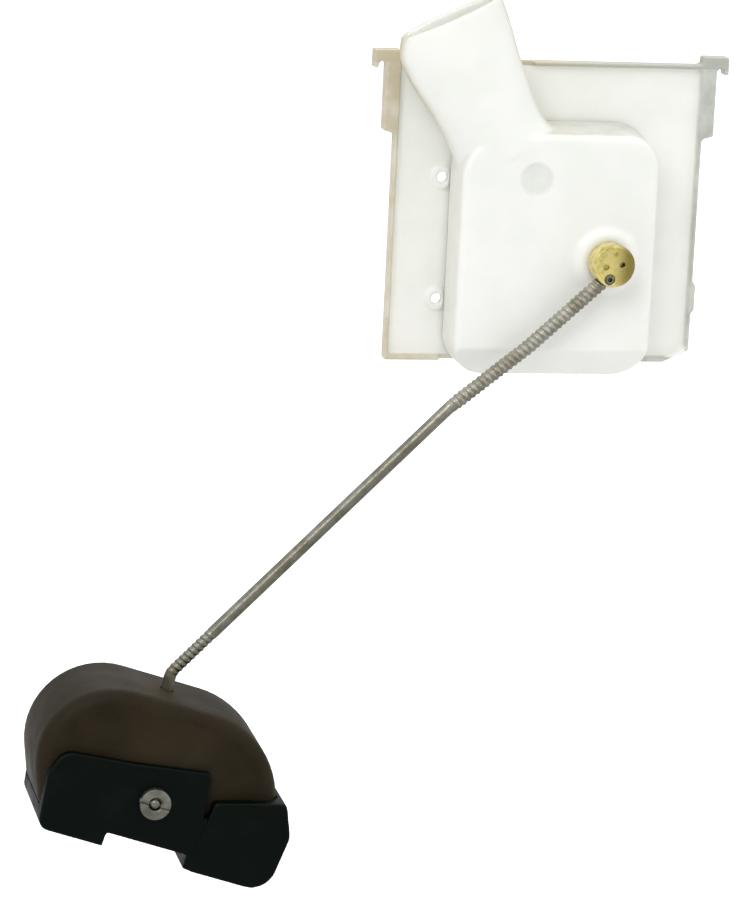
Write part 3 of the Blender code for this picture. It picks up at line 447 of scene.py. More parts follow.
def plate_outline():
    """The plate's outline; the rail and the ear of its right side are mirrored to the left."""
    lip_right = PLATE_RIGHT + EAR_REACH
    lip_left = lip_right - EAR_LIP
    lip_bottom = EAR_UNDERSIDE - EAR_LIP_DROP
    ear_start = PLATE_RIGHT - RIM_WIDTH + 0.2
    side = [
        (PLATE_RIGHT, RAIL_BOTTOM),
        (PLATE_RIGHT + RAIL_WIDTH, RAIL_BOTTOM + RAIL_SLOPE),
        (PLATE_RIGHT + RAIL_WIDTH, EAR_UNDERSIDE),
        (lip_left, EAR_UNDERSIDE),
        (lip_left, lip_bottom),
        (lip_right, lip_bottom),
        (lip_right, EAR_TOP),
        (ear_start, EAR_TOP),
        (ear_start, PLATE_TOP),
    ]
    nib_right = PLATE_RIGHT + 0.8
    nib = [(PLATE_RIGHT, -26.5), (nib_right, -25.5), (nib_right, -19.0), (PLATE_RIGHT, -18.0)]
    tab = [(-21.0, PLATE_BOTTOM), (-19.0, BOX_BOTTOM), (19.6, BOX_BOTTOM), (21.6, PLATE_BOTTOM)]
    cut_corner = [(34.4, PLATE_BOTTOM), (PLATE_RIGHT, -36.4)]
    mirrored = [(-x, z) for x, z in reversed(side)]
    return [(PLATE_LEFT, PLATE_BOTTOM)] + tab + cut_corner + nib + side + mirrored


def plate_recess():
    """The plate's face inside its rim; the rim is open below the box and behind the neck."""
    left = PLATE_LEFT + RIM_WIDTH
    right = PLATE_RIGHT - RIM_WIDTH
    bottom = PLATE_BOTTOM + RIM_WIDTH
    top = PLATE_TOP - RIM_WIDTH
    below = PLATE_BOTTOM - 5.0
    above = PLATE_TOP + 5.0
    margin = 0.6  # beside the box
    rim_start = -5.0  # of the top rim, right of the neck
    return [
        (left, bottom),
        (BOX_LEFT - margin, bottom),
        (BOX_LEFT - margin, below),
        (BOX_RIGHT + margin, below),
        (BOX_RIGHT + margin, bottom),
        (34.1, bottom),  # beside the plate's cut corner
        (right, -35.7),
        (right, top),
        (rim_start, top),
        (rim_start, above),
        (left, above),
    ]


def add_flange_hole(plate, z):
    """Open hole with a raised ring, which is cut off flat where it meets the box."""
    here = frame_at(FLANGE_HOLE_X, z)
    ring = pin(FLANGE_RING_RADIUS, PLATE_FRONT + OVERLAP, PLATE_FRONT - FLANGE_RING_HEIGHT)
    sliced(ring, (BOX_LEFT - GAP - FLANGE_HOLE_X, 0.0, 0.0), (1.0, 0.0, 0.0))
    join(plate, ring, here)
    cut(plate, pin(FLANGE_HOLE_RADIUS, BEYOND, RIM_FRONT - BEYOND), here)


def add_plunger_guides(plate):
    """Two cheeks that guide the plunger, and the raised floor between them."""
    inner = PLUNGER_HALF_WIDTH + GUIDE_PLAY
    for side in (-1, 1):
        across = sorted((side * inner, side * (inner + GUIDE_WALL)))
        cheek = rectangle(*across, -GUIDE_END, -GUIDE_START)
        join(plate, extruded(cheek, GUIDE_FRONT, PLATE_FRONT + OVERLAP), NECK)
    floor = rectangle(-inner - 0.5, inner + 0.5, -GUIDE_END, -GUIDE_START)
    join(plate, extruded(floor, PLUNGER_BACK + 0.15, PLATE_FRONT + OVERLAP), NECK)


def make_plate(look):
    plate = add_mesh("back_plate_moulding", extruded(plate_outline(), RIM_FRONT, 0.0))
    cut(plate, extruded(plate_recess(), RIM_FRONT - BEYOND, PLATE_FRONT))
    for z in FLANGE_HOLES_Z:
        add_flange_hole(plate, z)
    shank = SCREW_RADIUS + SCREW_PLAY
    head = SCREW_HEAD_RADIUS + SCREW_PLAY
    sink = [(head, BEYOND), (head, COUNTERSINK_START)]
    sink += [(shank, COUNTERSINK_END), (shank, PLATE_FRONT - BEYOND)]
    for x, z in COVER_SCREWS:
        cut(plate, turned(sink, segments=32), frame_at(x, z))
    join(plate, pin(JOURNAL_BOSS_RADIUS, PLATE_FRONT + OVERLAP, JOURNAL_BOSS_FRONT, segments=64), SPINDLE)
    bearing = JOURNAL_RADIUS + 0.05
    cut(plate, pin(bearing, JOURNAL_BOSS_FRONT - BEYOND, JOURNAL_HOLE_END, segments=64), SPINDLE)
    add_plunger_guides(plate)
    settle(plate, voxel=MOULDING_VOXEL, smoothing=MOULDING_SMOOTHING)
    finish_piece(plate, "back_plate", "housing", look)


def box_ring(distance, y):
    """Ring of the box's walls at depth y, moved inwards by a distance; the top wall leans back."""
    top = BOX_TOP - BOX_DRAFT * (BOX_BACK - y) / (BOX_BACK - BOX_FRONT)
    corners = [
        (BOX_LEFT, BOX_BOTTOM, BOX_CORNER_BOTTOM),
        (BOX_RIGHT, BOX_BOTTOM, BOX_CORNER_BOTTOM),
        (BOX_RIGHT, top, BOX_CORNER_TOP),
        (BOX_LEFT, top, BOX_CORNER_NECK),
    ]
    return [(x, y, z) for x, z in rounded(inset(corners, distance))]


def sloped(shape, depth):
    """Cuts off the box's lower front edge at a slope, or a parallel slope at some depth below it."""
    normal = Vector((0.0, BOX_BOTTOM - CHAMFER_TOP, BOX_FRONT - CHAMFER_BACK)).normalized()
    point = Vector((0.0, BOX_FRONT, CHAMFER_TOP)) - normal * depth
    return sliced(shape, point, normal)


def box_shape(steps=6):
    """The box with its rounded front edge and its sloped lower edge."""
    rings = [box_ring(0.0, BOX_BACK)]
    for step in range(steps + 1):
        angle = pi / 2 * step / steps
        depth = BOX_FRONT + BOX_EDGE_ROUND * (1 - sin(angle))
        rings.append(box_ring(BOX_EDGE_ROUND * (1 - cos(angle)), depth))
    return sloped(skin(rings), 0.0)


def between(before, start, end, after, share):
    """Point on the smooth curve from start to end, which the two points outside them bend."""
    before, start, end, after = (Vector(point) for point in (before, start, end, after))
    slope_in = (end - before) / 2
    slope_out = (after - start) / 2
    square = share * share
    cube = square * share
    return (
        start * (2 * cube - 3 * square + 1)
        + slope_in * (cube - 2 * square + share)
        + end * (3 * square - 2 * cube)
        + slope_out * (cube - square)
    )


def fine_edge(points, steps=4):
    """Smooth curve through all the points, with a number of steps between each two."""
    fine = []
    for index in range(len(points) - 1):
        around = (
            points[max(index - 1, 0)],
            points[index],
            points[index + 1],
            points[min(index + 2, len(points) - 1)],
        )
        fine += [between(*around, step / steps) for step in range(steps)]
    return fine + [Vector(points[-1])]


def neck_ring(left, right, segments=72):
    """Oval ring of the neck's outside between its left and right edges."""
    left = Vector((left[0], 0.0, left[1]))
    right = Vector((right[0], 0.0, right[1]))
    centre = (left + right) / 2 + Vector((0.0, NECK_Y, 0.0))
    across = (right - left) / 2
    deep = Vector((0.0, NECK_HALF_DEPTH, 0.0))
    angles = [2 * pi * step / segments for step in range(segments)]
    return [centre + across * cos(angle) + deep * sin(angle) for angle in angles]


def neck_shape():
    """The neck's outside, solid from the mouth down into the box."""
    lefts = fine_edge([edges[0] for edges in NECK_EDGES])
    rights = fine_edge([edges[1] for edges in NECK_EDGES])
    return skin([neck_ring(left, right) for left, right in zip(lefts, rights)])


def bore_ring(half_width, z, segments=72):
    """Oval ring across the neck's axis, in the neck's frame."""
    angles = [2 * pi * step / segments for step in range(segments)]
    return [(half_width * cos(angle), NECK_Y + BORE_HALF_DEPTH * sin(angle), z) for angle in angles]


def neck_bore():
    """Bore that narrows from the mouth and then runs straight on into the box."""
    above_mouth = 8.0
    return skin(
        [
            bore_ring(MOUTH_HALF_WIDTH, above_mouth),
            bore_ring(MOUTH_HALF_WIDTH, 0.0),
            bore_ring(BORE_HALF_WIDTH, -MOUTH_TAPER),
            bore_ring(BORE_HALF_WIDTH, -BORE_LENGTH),
        ]
    )


def add_spindle_boss(cover):
    """Conical boss around the spindle, with the bush's seat behind and an open lip in front."""
    inner_boss = BOSS_RADIUS - BOSS_BORE_WALL
    boss = [
        (inner_boss, BOSS_BACK),
        (inner_boss, BOX_FRONT + BEYOND),
        (BOSS_RADIUS, BOX_FRONT + 0.6),
        (BOSS_RADIUS, BOX_FRONT - 0.1),
        (inner_boss + 1.0, BOSS_FRONT + 0.2),
        (inner_boss + 0.4, BOSS_FRONT),
    ]
    join(cover, turned(boss), SPINDLE)
    lip = SPINDLE_RADIUS + 0.4
    lip_back = BOSS_FRONT + 1.0
    seat = BUSH_RADIUS + GAP
    hole = [(seat, BOSS_BACK + BEYOND), (seat, lip_back), (lip, lip_back), (lip, BOSS_FRONT - BEYOND)]
    cut(cover, turned(hole), SPINDLE)


def add_screw_post(cover, x, z):
    """Post behind the cover's face, drilled for a cover screw; it is shorter behind the slope."""
    front = CHAMFER_BACK - 0.7 if z < CHAMFER_TOP else BOX_FRONT + BEYOND
    here = frame_at(x, z)
    join(cover, pin(SCREW_POST_RADIUS, BOX_BACK, front), here)
    cut(cover, pin(SCREW_RADIUS + 0.15, BOX_BACK + BEYOND, SCREW_HOLE_END, segments=24), here)


def add_gate_mark(cover):
    """Shallow round recess in the face, with the stub of the sprue in it."""
    floor = BOX_FRONT + GATE_MARK_DEPTH
    recess = [(GATE_MARK_RADIUS, BOX_FRONT - BEYOND), (GATE_MARK_FLOOR_RADIUS, floor)]
    cut(cover, turned(recess), frame_at(GATE_X, GATE_Z))
    stub = [
        (GATE_STUB_RADIUS, BOX_FRONT + 0.8),
        (GATE_STUB_RADIUS, BOX_FRONT + 0.25),
        (GATE_STUB_RADIUS - 0.6, BOX_FRONT + 0.05),
    ]
    join(cover, turned(stub), frame_at(GATE_STUB_X, GATE_STUB_Z))


def make_cover(look):
    cover = add_mesh("front_cover_moulding", box_shape())
    inside = [box_ring(BOX_WALL, BOX_BACK + BEYOND), box_ring(BOX_WALL, BOX_FRONT + BOX_WALL)]
    cut(cover, sloped(skin(inside), BOX_WALL))
    join(cover, neck_shape())
    cut(cover, neck_bore(), NECK)
    add_spindle_boss(cover)
    for x, z in COVER_SCREWS:
        add_screw_post(cover, x, z)
    add_gate_mark(cover)
    settle(cover, voxel=MOULDING_VOXEL, smoothing=MOULDING_SMOOTHING)
    finish_piece(cover, "front_cover", "housing", look)


# Spindle group

def rod_direction():
    return (Vector(ROD_PATH[1]) - Vector(ROD_PATH[0])).normalized()


def clamp_screw_place():
    return frame_at(*(Vector(ROD_PATH[0]) + rod_direction() * CLAMP_SCREW_FROM_END))


def spindle_shape(steps=6):
    """From the journal at the back over the crank's seat and the clip's groove to the round head."""
    profile = [
        (JOURNAL_RADIUS, SPINDLE_END),
        (JOURNAL_RADIUS, CRANK_SEAT_BACK),
        (CRANK_SEAT_RADIUS, CRANK_SEAT_BACK),
        (CRANK_SEAT_RADIUS, CRANK_SEAT_FRONT),
        (SPINDLE_RADIUS, CRANK_SEAT_FRONT),
        (SPINDLE_RADIUS, CLIP_GROOVE_BACK),
        (CLIP_GROOVE_RADIUS, CLIP_GROOVE_BACK),
        (CLIP_GROOVE_RADIUS, CLIP_GROOVE_FRONT),
        (SPINDLE_RADIUS, CLIP_GROOVE_FRONT),
        (SPINDLE_RADIUS, HEAD_BACK),
        (HEAD_RADIUS - HEAD_BACK_EDGE, HEAD_BACK),
        (HEAD_RADIUS, HEAD_BACK - HEAD_BACK_EDGE),
    ]
    for step in range(steps + 1):
        angle = pi / 2 * step / steps
        radius = HEAD_RADIUS - HEAD_EDGE * (1 - cos(angle))
        profile.append((radius, HEAD_FRONT + HEAD_EDGE * (1 - sin(angle))))
    profile += [(HEAD_DISH_RADIUS, HEAD_FRONT), (1.0, HEAD_FRONT + HEAD_DISH_DEPTH)]
    return turned(profile)


def drilled(radius, back, chamfer, lead, segments):
    """Cutter for a hole in the head's face; its chamfer runs on by lead in front of the face."""
    wide = radius + chamfer
    front = HEAD_FRONT - lead
    profile = [
        (radius, back),
        (radius, front + chamfer),
        (wide, front),
        (wide, HEAD_FRONT - BEYOND),
    ]
    return turned(profile, segments=segments)


def make_spindle(look):
    spindle = add_mesh("spindle_turned", spindle_shape(), SPINDLE)
    start = Vector(ROD_PATH[0])
    ends = (start - rod_direction() * 0.4, start + rod_direction() * 2 * HEAD_RADIUS)
    cut(spindle, tube([tuple(end) for end in ends], [THREAD_CREST + 0.15] * 2))
    hole = drilled(CLAMP_SCREW_RADIUS + GAP, ROD_Y, chamfer=0.4, lead=0.15, segments=32)
    cut(spindle, hole, clamp_screw_place())
    bottom = HEAD_FRONT + SPANNER_HOLE_DEPTH
    for side in (-SPANNER_HOLE_OFFSET, SPANNER_HOLE_OFFSET):
        here = frame_at(SPINDLE_X, SPINDLE_Z, SPANNER_HOLES_TURN) @ Matrix.Translation((side, 0.0, 0.0))
        hole = drilled(SPANNER_HOLE_RADIUS, bottom, chamfer=0.25, lead=0.05, segments=24)
        cut(spindle, hole, here)
    settle(spindle, sharp=radians(30))
    finish_piece(spindle, "spindle", "float_arm", look)


def make_clamp_screw(look):
    back = ROD_Y - THREAD_CREST - GAP
    front = HEAD_FRONT + GAP
    profile = [
        (CLAMP_SCREW_RADIUS, back),
        (CLAMP_SCREW_RADIUS, front + BROKEN_EDGE),
        (CLAMP_SCREW_RADIUS - BROKEN_EDGE, front),
    ]
    screw = add_mesh("rod_clamp_screw_turned", turned(profile, segments=32), clamp_screw_place())
    socket = pin(CLAMP_SCREW_SOCKET_RADIUS, front + CLAMP_SCREW_SOCKET_DEPTH, front - BEYOND, segments=6)
    cut(screw, socket, clamp_screw_place())
    settle(screw)
    finish_piece(screw, "rod_clamp_screw", "float_arm", look)


# Arm

def tube(path, radii, sides=24):
    """Round bar at depth ROD_Y along (x, z) points; a radius is a number or a function of the angle."""
    rings = []
    for index, point in enumerate(path):
        before = Vector(path[max(index - 1, 0)])
        after = Vector(path[min(index + 1, len(path) - 1)])
        along = (after - before).normalized()
        across = Vector((-along.y, along.x))
        ring = []
        for side in range(sides):
            angle = 2 * pi * side / sides
            radius = radii[index](angle) if callable(radii[index]) else radii[index]
            out = across * radius * cos(angle)
            ring.append((point[0] + out.x, ROD_Y + radius * sin(angle), point[1] + out.y))
        rings.append(ring)
    return skin(rings)


def evenly(path, spacing):
    """Points about a spacing apart along a path, and how far along it each one lies."""
    points = []
    distances = []
    gone = 0.0
    for start, end in zip(path, path[1:]):
        start = Vector(start)
        end = Vector(end)
        length = (end - start).length
        count = max(1, round(length / spacing))
        for step in range(count):
            points.append(tuple(start.lerp(end, step / count)))
            distances.append(gone + length * step / count)
        gone += length
    return points + [path[-1]], distances + [gone]


def thread_depth(distance, start, end, run_out):
    """How deep a thread is cut, from 0 to 1; it runs out towards its start and its end."""
    return max(0.0, min(1.0, (distance - start) / run_out, (end - distance) / run_out))


def thread_radius(distance, crest, root):
    """Radius of a helical thread around the rod, as a function of the angle around it."""
    def radius(angle):
        turn = (distance / THREAD_PITCH + angle / (2 * pi)) % 1.0
        return root + (crest - root) * (0.5 + 0.5 * cos(2 * pi * turn)) ** 0.8

    return radius


def rod_radii(distances):
    """Rolled thread at the upper end, proud of the wire; cut thread near the lower end; plain between."""
    radii = []
    for distance in distances:
        left = distances[-1] - distance
        rolled = thread_depth(distance, -THREAD_RUN_OUT, THREAD_LENGTH, THREAD_RUN_OUT)
        tail = thread_depth(left, TAIL_THREAD_START, TAIL_THREAD_END, TAIL_THREAD_RUN_OUT)
        if rolled > 0:
            crest = ROD_RADIUS + (THREAD_CREST - ROD_RADIUS) * rolled
            radii.append(thread_radius(distance, crest, THREAD_ROOT))
        elif tail > 0:
            radii.append(thread_radius(distance, ROD_RADIUS, ROD_RADIUS - TAIL_THREAD_DEPTH * tail))
        else:
            radii.append(ROD_RADIUS)
    return radii


def rod_eye():
    """Flat ring at the rod's lower end, around the float's screw."""
    front = ROD_Y - ROD_EYE_HALF_THICKNESS
    back = ROD_Y + ROD_EYE_HALF_THICKNESS
    profile = [
        (ROD_EYE_RADIUS - ROD_EYE_EDGE, front),
        (ROD_EYE_RADIUS, front + ROD_EYE_EDGE),
        (ROD_EYE_RADIUS, back - ROD_EYE_EDGE),
        (ROD_EYE_RADIUS - ROD_EYE_EDGE, back),
    ]
    return turned(profile)


def make_rod(look):
    path = bent(ROD_PATH, ROD_BEND, 8)
    eye = Vector(path[-1])
    into_eye = ROD_EYE_RADIUS - 1.2
    path[-1] = tuple(eye + (Vector(path[-2]) - eye).normalized() * into_eye)
    points, distances = evenly(path, ROD_STEP)
    rod = add_mesh("float_rod_wire", tube(points, rod_radii(distances)))
    join(rod, rod_eye(), FLOAT)
    cut(rod, pin(ROD_EYE_BORE, ROD_Y - ROD_EYE_RADIUS, ROD_Y + ROD_EYE_RADIUS), FLOAT)
    settle(rod, sharp=radians(60))
    finish_piece(rod, "float_rod", "float_arm", look)


# Float

def float_shape(grow=0.0, steps=8):
    """The float with its rounded front and rear edges, larger all round by grow."""
    front = FLOAT_FRONT - grow
    back = FLOAT_BACK + grow
    rings = []
    for end, direction, order in ((front, 1, range(steps, -1, -1)), (back, -1, range(steps + 1))):
        for step in order:
            angle = pi / 2 * step / steps
            distance = FLOAT_EDGE_ROUND * (1 - cos(angle)) - grow
            y = end + direction * FLOAT_EDGE_ROUND * (1 - sin(angle))
            outline = rounded(inset(FLOAT_CORNERS, distance), steps=16)
            rings.append([(x, y, z) for x, z in outline])
    return skin(rings)


def make_float(look):
    """Block with a hole for the rod, a pocket from below for its eye, and a hole for the screw."""
    body = add_mesh("float_block", float_shape(), FLOAT)
    clear = ROD_RADIUS + 0.3
    cut(body, tube([ROD_PATH[-2], ROD_PATH[-1]], [clear, clear]))
    half = ROD_EYE_RADIUS + 0.4
    deep = ROD_EYE_HALF_THICKNESS + 0.3
    cut(body, extruded(rectangle(-half, half, -14.0, half), ROD_Y - deep, ROD_Y + deep), FLOAT)
    hole = FLOAT_SCREW_RADIUS + 0.25
    cut(body, pin(hole, FLOAT_FRONT - BEYOND, FLOAT_BACK + BEYOND, segments=24), FLOAT)
    settle(body, sharp=radians(40))
    finish_piece(body, "float_body", "float_arm", look)


def make_shoe(look):
    """Trough around the float's base, with a thicker toe, a notch below and a shorter rear wall."""
    trough = extruded(rounded(SHOE_CORNERS, 8), SHOE_FRONT, SHOE_BACK)
    shoe = add_mesh("float_clamp_shoe", trough, FLOAT)
    join(shoe, extruded(rounded(TOE_CORNERS, 8), TOE_FRONT, TOE_BACK), FLOAT)
    cut(shoe, float_shape(grow=SHOE_PLAY), FLOAT)
    front = TOE_FRONT - BEYOND
    back = TOE_BACK + BEYOND
    below = SHOE_BOTTOM - BEYOND
    cut(shoe, extruded(rectangle(NOTCH_LEFT, NOTCH_RIGHT, below, NOTCH_TOP), front, back), FLOAT)
    rear_wall = rectangle(SHOE_LEFT - BEYOND, REAR_WALL_LEFT, below, SHOE_TOP + BEYOND)
    cut(shoe, extruded(rear_wall, FLOAT_BACK - 0.5, back), FLOAT)
    cut(shoe, pin(FLOAT_SCREW_RADIUS + 0.2, front, back, segments=24), FLOAT)
    settle(shoe, voxel=MOULDING_VOXEL, smoothing=MOULDING_SMOOTHING)
    finish_piece(shoe, "float_shoe", "float_arm", look)


def make_float_washer(look):
    bore = FLOAT_SCREW_RADIUS + FLOAT_SCREW_PLAY
    near = SHOE_BACK + GAP
    far = near + WASHER_THICKNESS
    profile = [
        (bore, near),
        (WASHER_RADIUS, near),
        (WASHER_RADIUS, far - BROKEN_EDGE),
        (WASHER_RADIUS - BROKEN_EDGE, far),
        (bore, far),
    ]
    washer = settle(add_mesh("float_washer_pressed", turned(profile, loop=True), FLOAT))
    finish_piece(washer, "float_washer", "float_arm", look)


def make_float_screw(look, steps=6):
    """Slotted screw from the rear, its round cap on the washer and its end in the nut in front."""
    seat = SHOE_BACK + GAP + WASHER_THICKNESS + GAP
    top = seat + SCREW_CAP_HEIGHT
    profile = []
    for step in range(steps + 1):
        angle = pi / 2 * step / steps
        radius = SCREW_CAP_RADIUS - SCREW_CAP_ROUND * (1 - sin(angle))
        profile.append((radius, top - SCREW_CAP_ROUND * (1 - cos(angle))))
    profile += [
        (SCREW_CAP_RADIUS, seat),
        (FLOAT_SCREW_RADIUS, seat),
        (FLOAT_SCREW_RADIUS, NUT_FRONT + 0.9),
        (FLOAT_SCREW_RADIUS - 0.5, NUT_FRONT + 0.3),
        (FLOAT_SCREW_RADIUS - 0.8, NUT_FRONT + 0.1),
    ]
    screw = add_mesh("float_screw_turned", turned(profile), FLOAT)
    length = SCREW_CAP_RADIUS + BEYOND
    across = rectangle(-SCREW_SLOT_WIDTH / 2, SCREW_SLOT_WIDTH / 2, -length, length)
    slot = extruded(across, seat + SCREW_SLOT_FLOOR, top + BEYOND)
    cut(screw, slot, FLOAT @ Matrix.Rotation(SCREW_SLOT_TURN, 4, "Y"))
    settle(screw)
    finish_piece(screw, "float_screw", "float_arm", look)


def make_float_nut(look):
    """Round nut with a slot across its face."""
    bore = FLOAT_SCREW_RADIUS + FLOAT_SCREW_PLAY
    back = SHOE_FRONT - GAP
    profile = [
        (bore, back),
        (NUT_RADIUS, back),
        (NUT_RADIUS, NUT_FRONT + 0.5),
        (NUT_RADIUS - BROKEN_EDGE, NUT_FRONT + BROKEN_EDGE),
        (NUT_RADIUS - 0.5, NUT_FRONT),
        (bore + 0.4, NUT_FRONT),
        (bore, NUT_FRONT + 0.4),
    ]
    nut = add_mesh("float_nut_turned", turned(profile, loop=True), FLOAT)
    length = NUT_RADIUS + BEYOND
    across = rectangle(-length, length, -NUT_SLOT / 2, NUT_SLOT / 2)
    cut(nut, extruded(across, NUT_FRONT - BEYOND, NUT_FRONT + NUT_SLOT_DEPTH), FLOAT)
    settle(nut)
    finish_piece(nut, "float_nut", "float_arm", look)


# Materials

def add(tree, kind, inputs=None, **settings):
    """Adds a node; an input is a value or another node's output."""
    node = tree.nodes.new(kind)
    for name, value in settings.items():
        setattr(node, name, value)
    for name, value in (inputs or {}).items():
        if isinstance(value, bpy.types.NodeSocket):
            tree.links.new(value, node.inputs[name])
        else:
            node.inputs[name].default_value = value
    return node


def new_look(name):
    look = bpy.data.materials.new(name)
    look.use_nodes = True
    tree = look.node_tree
    return look, tree, tree.nodes["Principled BSDF"]


def place_on(tree):
    return add(tree, "ShaderNodeTexCoord").outputs["Object"]


def noise(tree, place, scale, detail=3.0, roughness=0.55):
    values = {"Vector": place, "Scale": scale, "Detail": detail, "Roughness": roughness}
    return add(tree, "ShaderNodeTexNoise", values).outputs["Fac"]


def stretched(tree, place, stretch):
    return add(tree, "ShaderNodeVectorMath", {0: place, 1: stretch}, operation="MULTIPLY").outputs[0]


def calculate(tree, operation, first, second=0.0):
    return add(tree, "ShaderNodeMath", {0: first, 1: second}, operation=operation).outputs[0]


def part_of(tree, vector, axis):
    return add(tree, "ShaderNodeSeparateXYZ", {0: vector}).outputs[axis]


def between_values(tree, value, low, high, to_low=0.0, to_high=1.0):
    """Maps a value from low..high to to_low..to_high, smoothly and clamped."""
    values = {"Value": value, "From Min": low, "From Max": high, "To Min": to_low, "To Max": to_high}
    return add(tree, "ShaderNodeMapRange", values, interpolation_type="SMOOTHSTEP").outputs["Result"]


def mixed(tree, share, first, second):
    """Blends from the first colour to the second; a colour is three numbers or another node's output."""
    node = add(tree, "ShaderNodeMix", {0: share}, data_type="RGBA")
    for index, colour in ((6, first), (7, second)):
        if isinstance(colour, bpy.types.NodeSocket):
            tree.links.new(colour, node.inputs[index])
        else:
            node.inputs[index].default_value = (*colour, 1.0)
    return node.outputs[2]


def set_bump(tree, surface, height, distance, strength=0.5):
    """Bump of a depth in millimetres."""
    values = {"Height": height, "Strength": strength, "Distance": distance * METRES_PER_MM}
    tree.links.new(add(tree, "ShaderNodeBump", values).outputs["Normal"], surface.inputs["Normal"])


def plug(tree, surface, **inputs):
    """Sets Principled inputs; an underscore in a name stands for a space."""
    for name, value in inputs.items():
        socket = surface.inputs[name.replace("_", " ")]
        if isinstance(value, bpy.types.NodeSocket):
            tree.links.new(value, socket)
        else:
            socket.default_value = value


def spot(tree, place, centre, radius):
    """1 within a radius of a line along Y through (x, z), in millimetres, and 0 outside it."""
    flat = stretched(tree, place, (1.0, 0.0, 1.0))
    middle = (centre[0] * METRES_PER_MM, 0.0, centre[1] * METRES_PER_MM)
    gap = add(tree, "ShaderNodeVectorMath", {0: flat, 1: middle}, operation="DISTANCE").outputs["Value"]
    return between_values(tree, gap, radius * METRES_PER_MM * 1.12, radius * METRES_PER_MM * 0.85)


def milky_plastic(name, painted_edge_shade):
    """Cloudy white moulding: broad faces are bright; painted edge shade turns its thick edges grey, warmer
    on the left, and painted shade greys its concave corners.
    """
    look, tree, surface = new_look(name)
    place = place_on(tree)
    axes = add(tree, "ShaderNodeSeparateXYZ", {0: place}).outputs
    clouds = noise(tree, place, 70.0, 4.0)
    face = mixed(tree, between_values(tree, clouds, 0.3, 0.7), (0.895, 0.90, 0.865), (0.85, 0.865, 0.82))
    across = between_values(tree, axes["X"], -0.025, 0.03)
    # Painted edge shade: brownish on the left, grey-green on the right.
    rim_shade = mixed(tree, across, (0.56, 0.50, 0.36), (0.44, 0.46, 0.41))
    stains = between_values(tree, noise(tree, place, 160.0, 3.0), 0.3, 0.7, 0.65, 1.0)
    shaded = mixed(tree, calculate(tree, "MULTIPLY", painted_edge_shade(tree, axes), stains), face, rim_shade)
    # Painted shade: ambient occlusion greys the concave corners.
    corner = add(tree, "ShaderNodeAmbientOcclusion", {"Distance": 0.003}, samples=8).outputs["AO"]
    painted_corner_shade = between_values(tree, corner, 0.85, 0.3, 0.0, 0.45)
    colour = mixed(tree, painted_corner_shade, shaded, (0.66, 0.67, 0.60))
    mark = calculate(tree, "MULTIPLY", spot(tree, place, (GATE_X, GATE_Z), GATE_MARK_RADIUS), stains)
    colour = mixed(tree, calculate(tree, "MULTIPLY", mark, 0.6), colour, (0.68, 0.70, 0.65))
    grain = noise(tree, place, 900.0, 2.0)
    plug(
        tree,
        surface,
        Base_Color=colour,
        Roughness=between_values(tree, noise(tree, place, 240.0), 0.3, 0.7, 0.28, 0.46),
        Subsurface_Weight=0.35,
        Subsurface_Radius=(0.9, 0.85, 0.7),
        Subsurface_Scale=0.002,
        Specular_IOR_Level=0.45,
    )
    waves = noise(tree, place, 90.0, 2.0)
    height = calculate(tree, "ADD", waves, calculate(tree, "MULTIPLY", grain, 0.12))
    set_bump(tree, surface, height, 0.5, 0.35)
    return look


def plate_painted_edge_shade(tree, axes):
    """Painted shade along the plate's thin rim, its rails and its ears."""
    side = calculate(tree, "ABSOLUTE", axes["X"])
    rim_shade = between_values(tree, side, 0.0396, 0.0404)
    top = between_values(tree, axes["Z"], 0.0378, 0.0386, 0.0, 1.6)
    bottom = between_values(tree, axes["Z"], -0.0378, -0.0386)
    return calculate(tree, "MAXIMUM", rim_shade, calculate(tree, "MAXIMUM", top, bottom))


def cover_painted_edge_shade(tree, axes):
    """Painted shade on faces turned away from the front: on the neck's sides, and faintly on the box's
    walls.
    """
    normal = add(tree, "ShaderNodeTexCoord").outputs["Normal"]
    facing = calculate(tree, "ABSOLUTE", part_of(tree, normal, "Y"))
    turned_away = between_values(tree, facing, 0.75, 0.1)
    on_neck = between_values(tree, axes["Z"], 0.014, 0.030, 0.22, 1.0)
    return calculate(tree, "MULTIPLY", turned_away, on_neck)


def turned_metal(name, colour, dark, centre, roughness, tarnish):
    """Metal turned about a Y axis through centre, whose fine rings draw highlights out into fans; besides
    tarnish patches, its right side is darkened as a painted dark reflection.
    """
    look, tree, surface = new_look(name)
    place = place_on(tree)
    offset = add(tree, "ShaderNodeVectorMath", {0: place, 1: centre}, operation="SUBTRACT").outputs[0]
    flat = stretched(tree, offset, (1.0, 0.0, 1.0))
    radius = add(tree, "ShaderNodeVectorMath", {0: flat}, operation="LENGTH").outputs["Value"]
    rings = calculate(tree, "SINE", calculate(tree, "MULTIPLY", radius, TURNING_MARKS))
    patches = noise(tree, place, 420.0, 5.0, 0.65)
    # Painted dark reflection: the right side of the turned face is darkened with the tarnish colour.
    painted_dark_reflection = between_values(tree, part_of(tree, offset, "X"), -0.001, 0.004, 0.0, 0.8)
    tarnish_and_dark_reflection = calculate(tree, "MAXIMUM", between_values(tree, patches, 0.45, 0.75, 0.0, tarnish), painted_dark_reflection)
    axis = (0.0, 1.0, 0.0)
    around = add(tree, "ShaderNodeVectorMath", {0: offset, 1: axis}, operation="CROSS_PRODUCT")
    plug(
        tree,
        surface,
        Base_Color=mixed(tree, tarnish_and_dark_reflection, colour, dark),
        Metallic=1.0,
        Roughness=between_values(tree, patches, 0.3, 0.75, roughness, roughness + 0.2),
        Anisotropic=0.75,
        Tangent=around.outputs[0],
    )
    height = calculate(tree, "ADD", rings, calculate(tree, "MULTIPLY", patches, 2.0))
    set_bump(tree, surface, height, 0.02, 0.4)
    return look


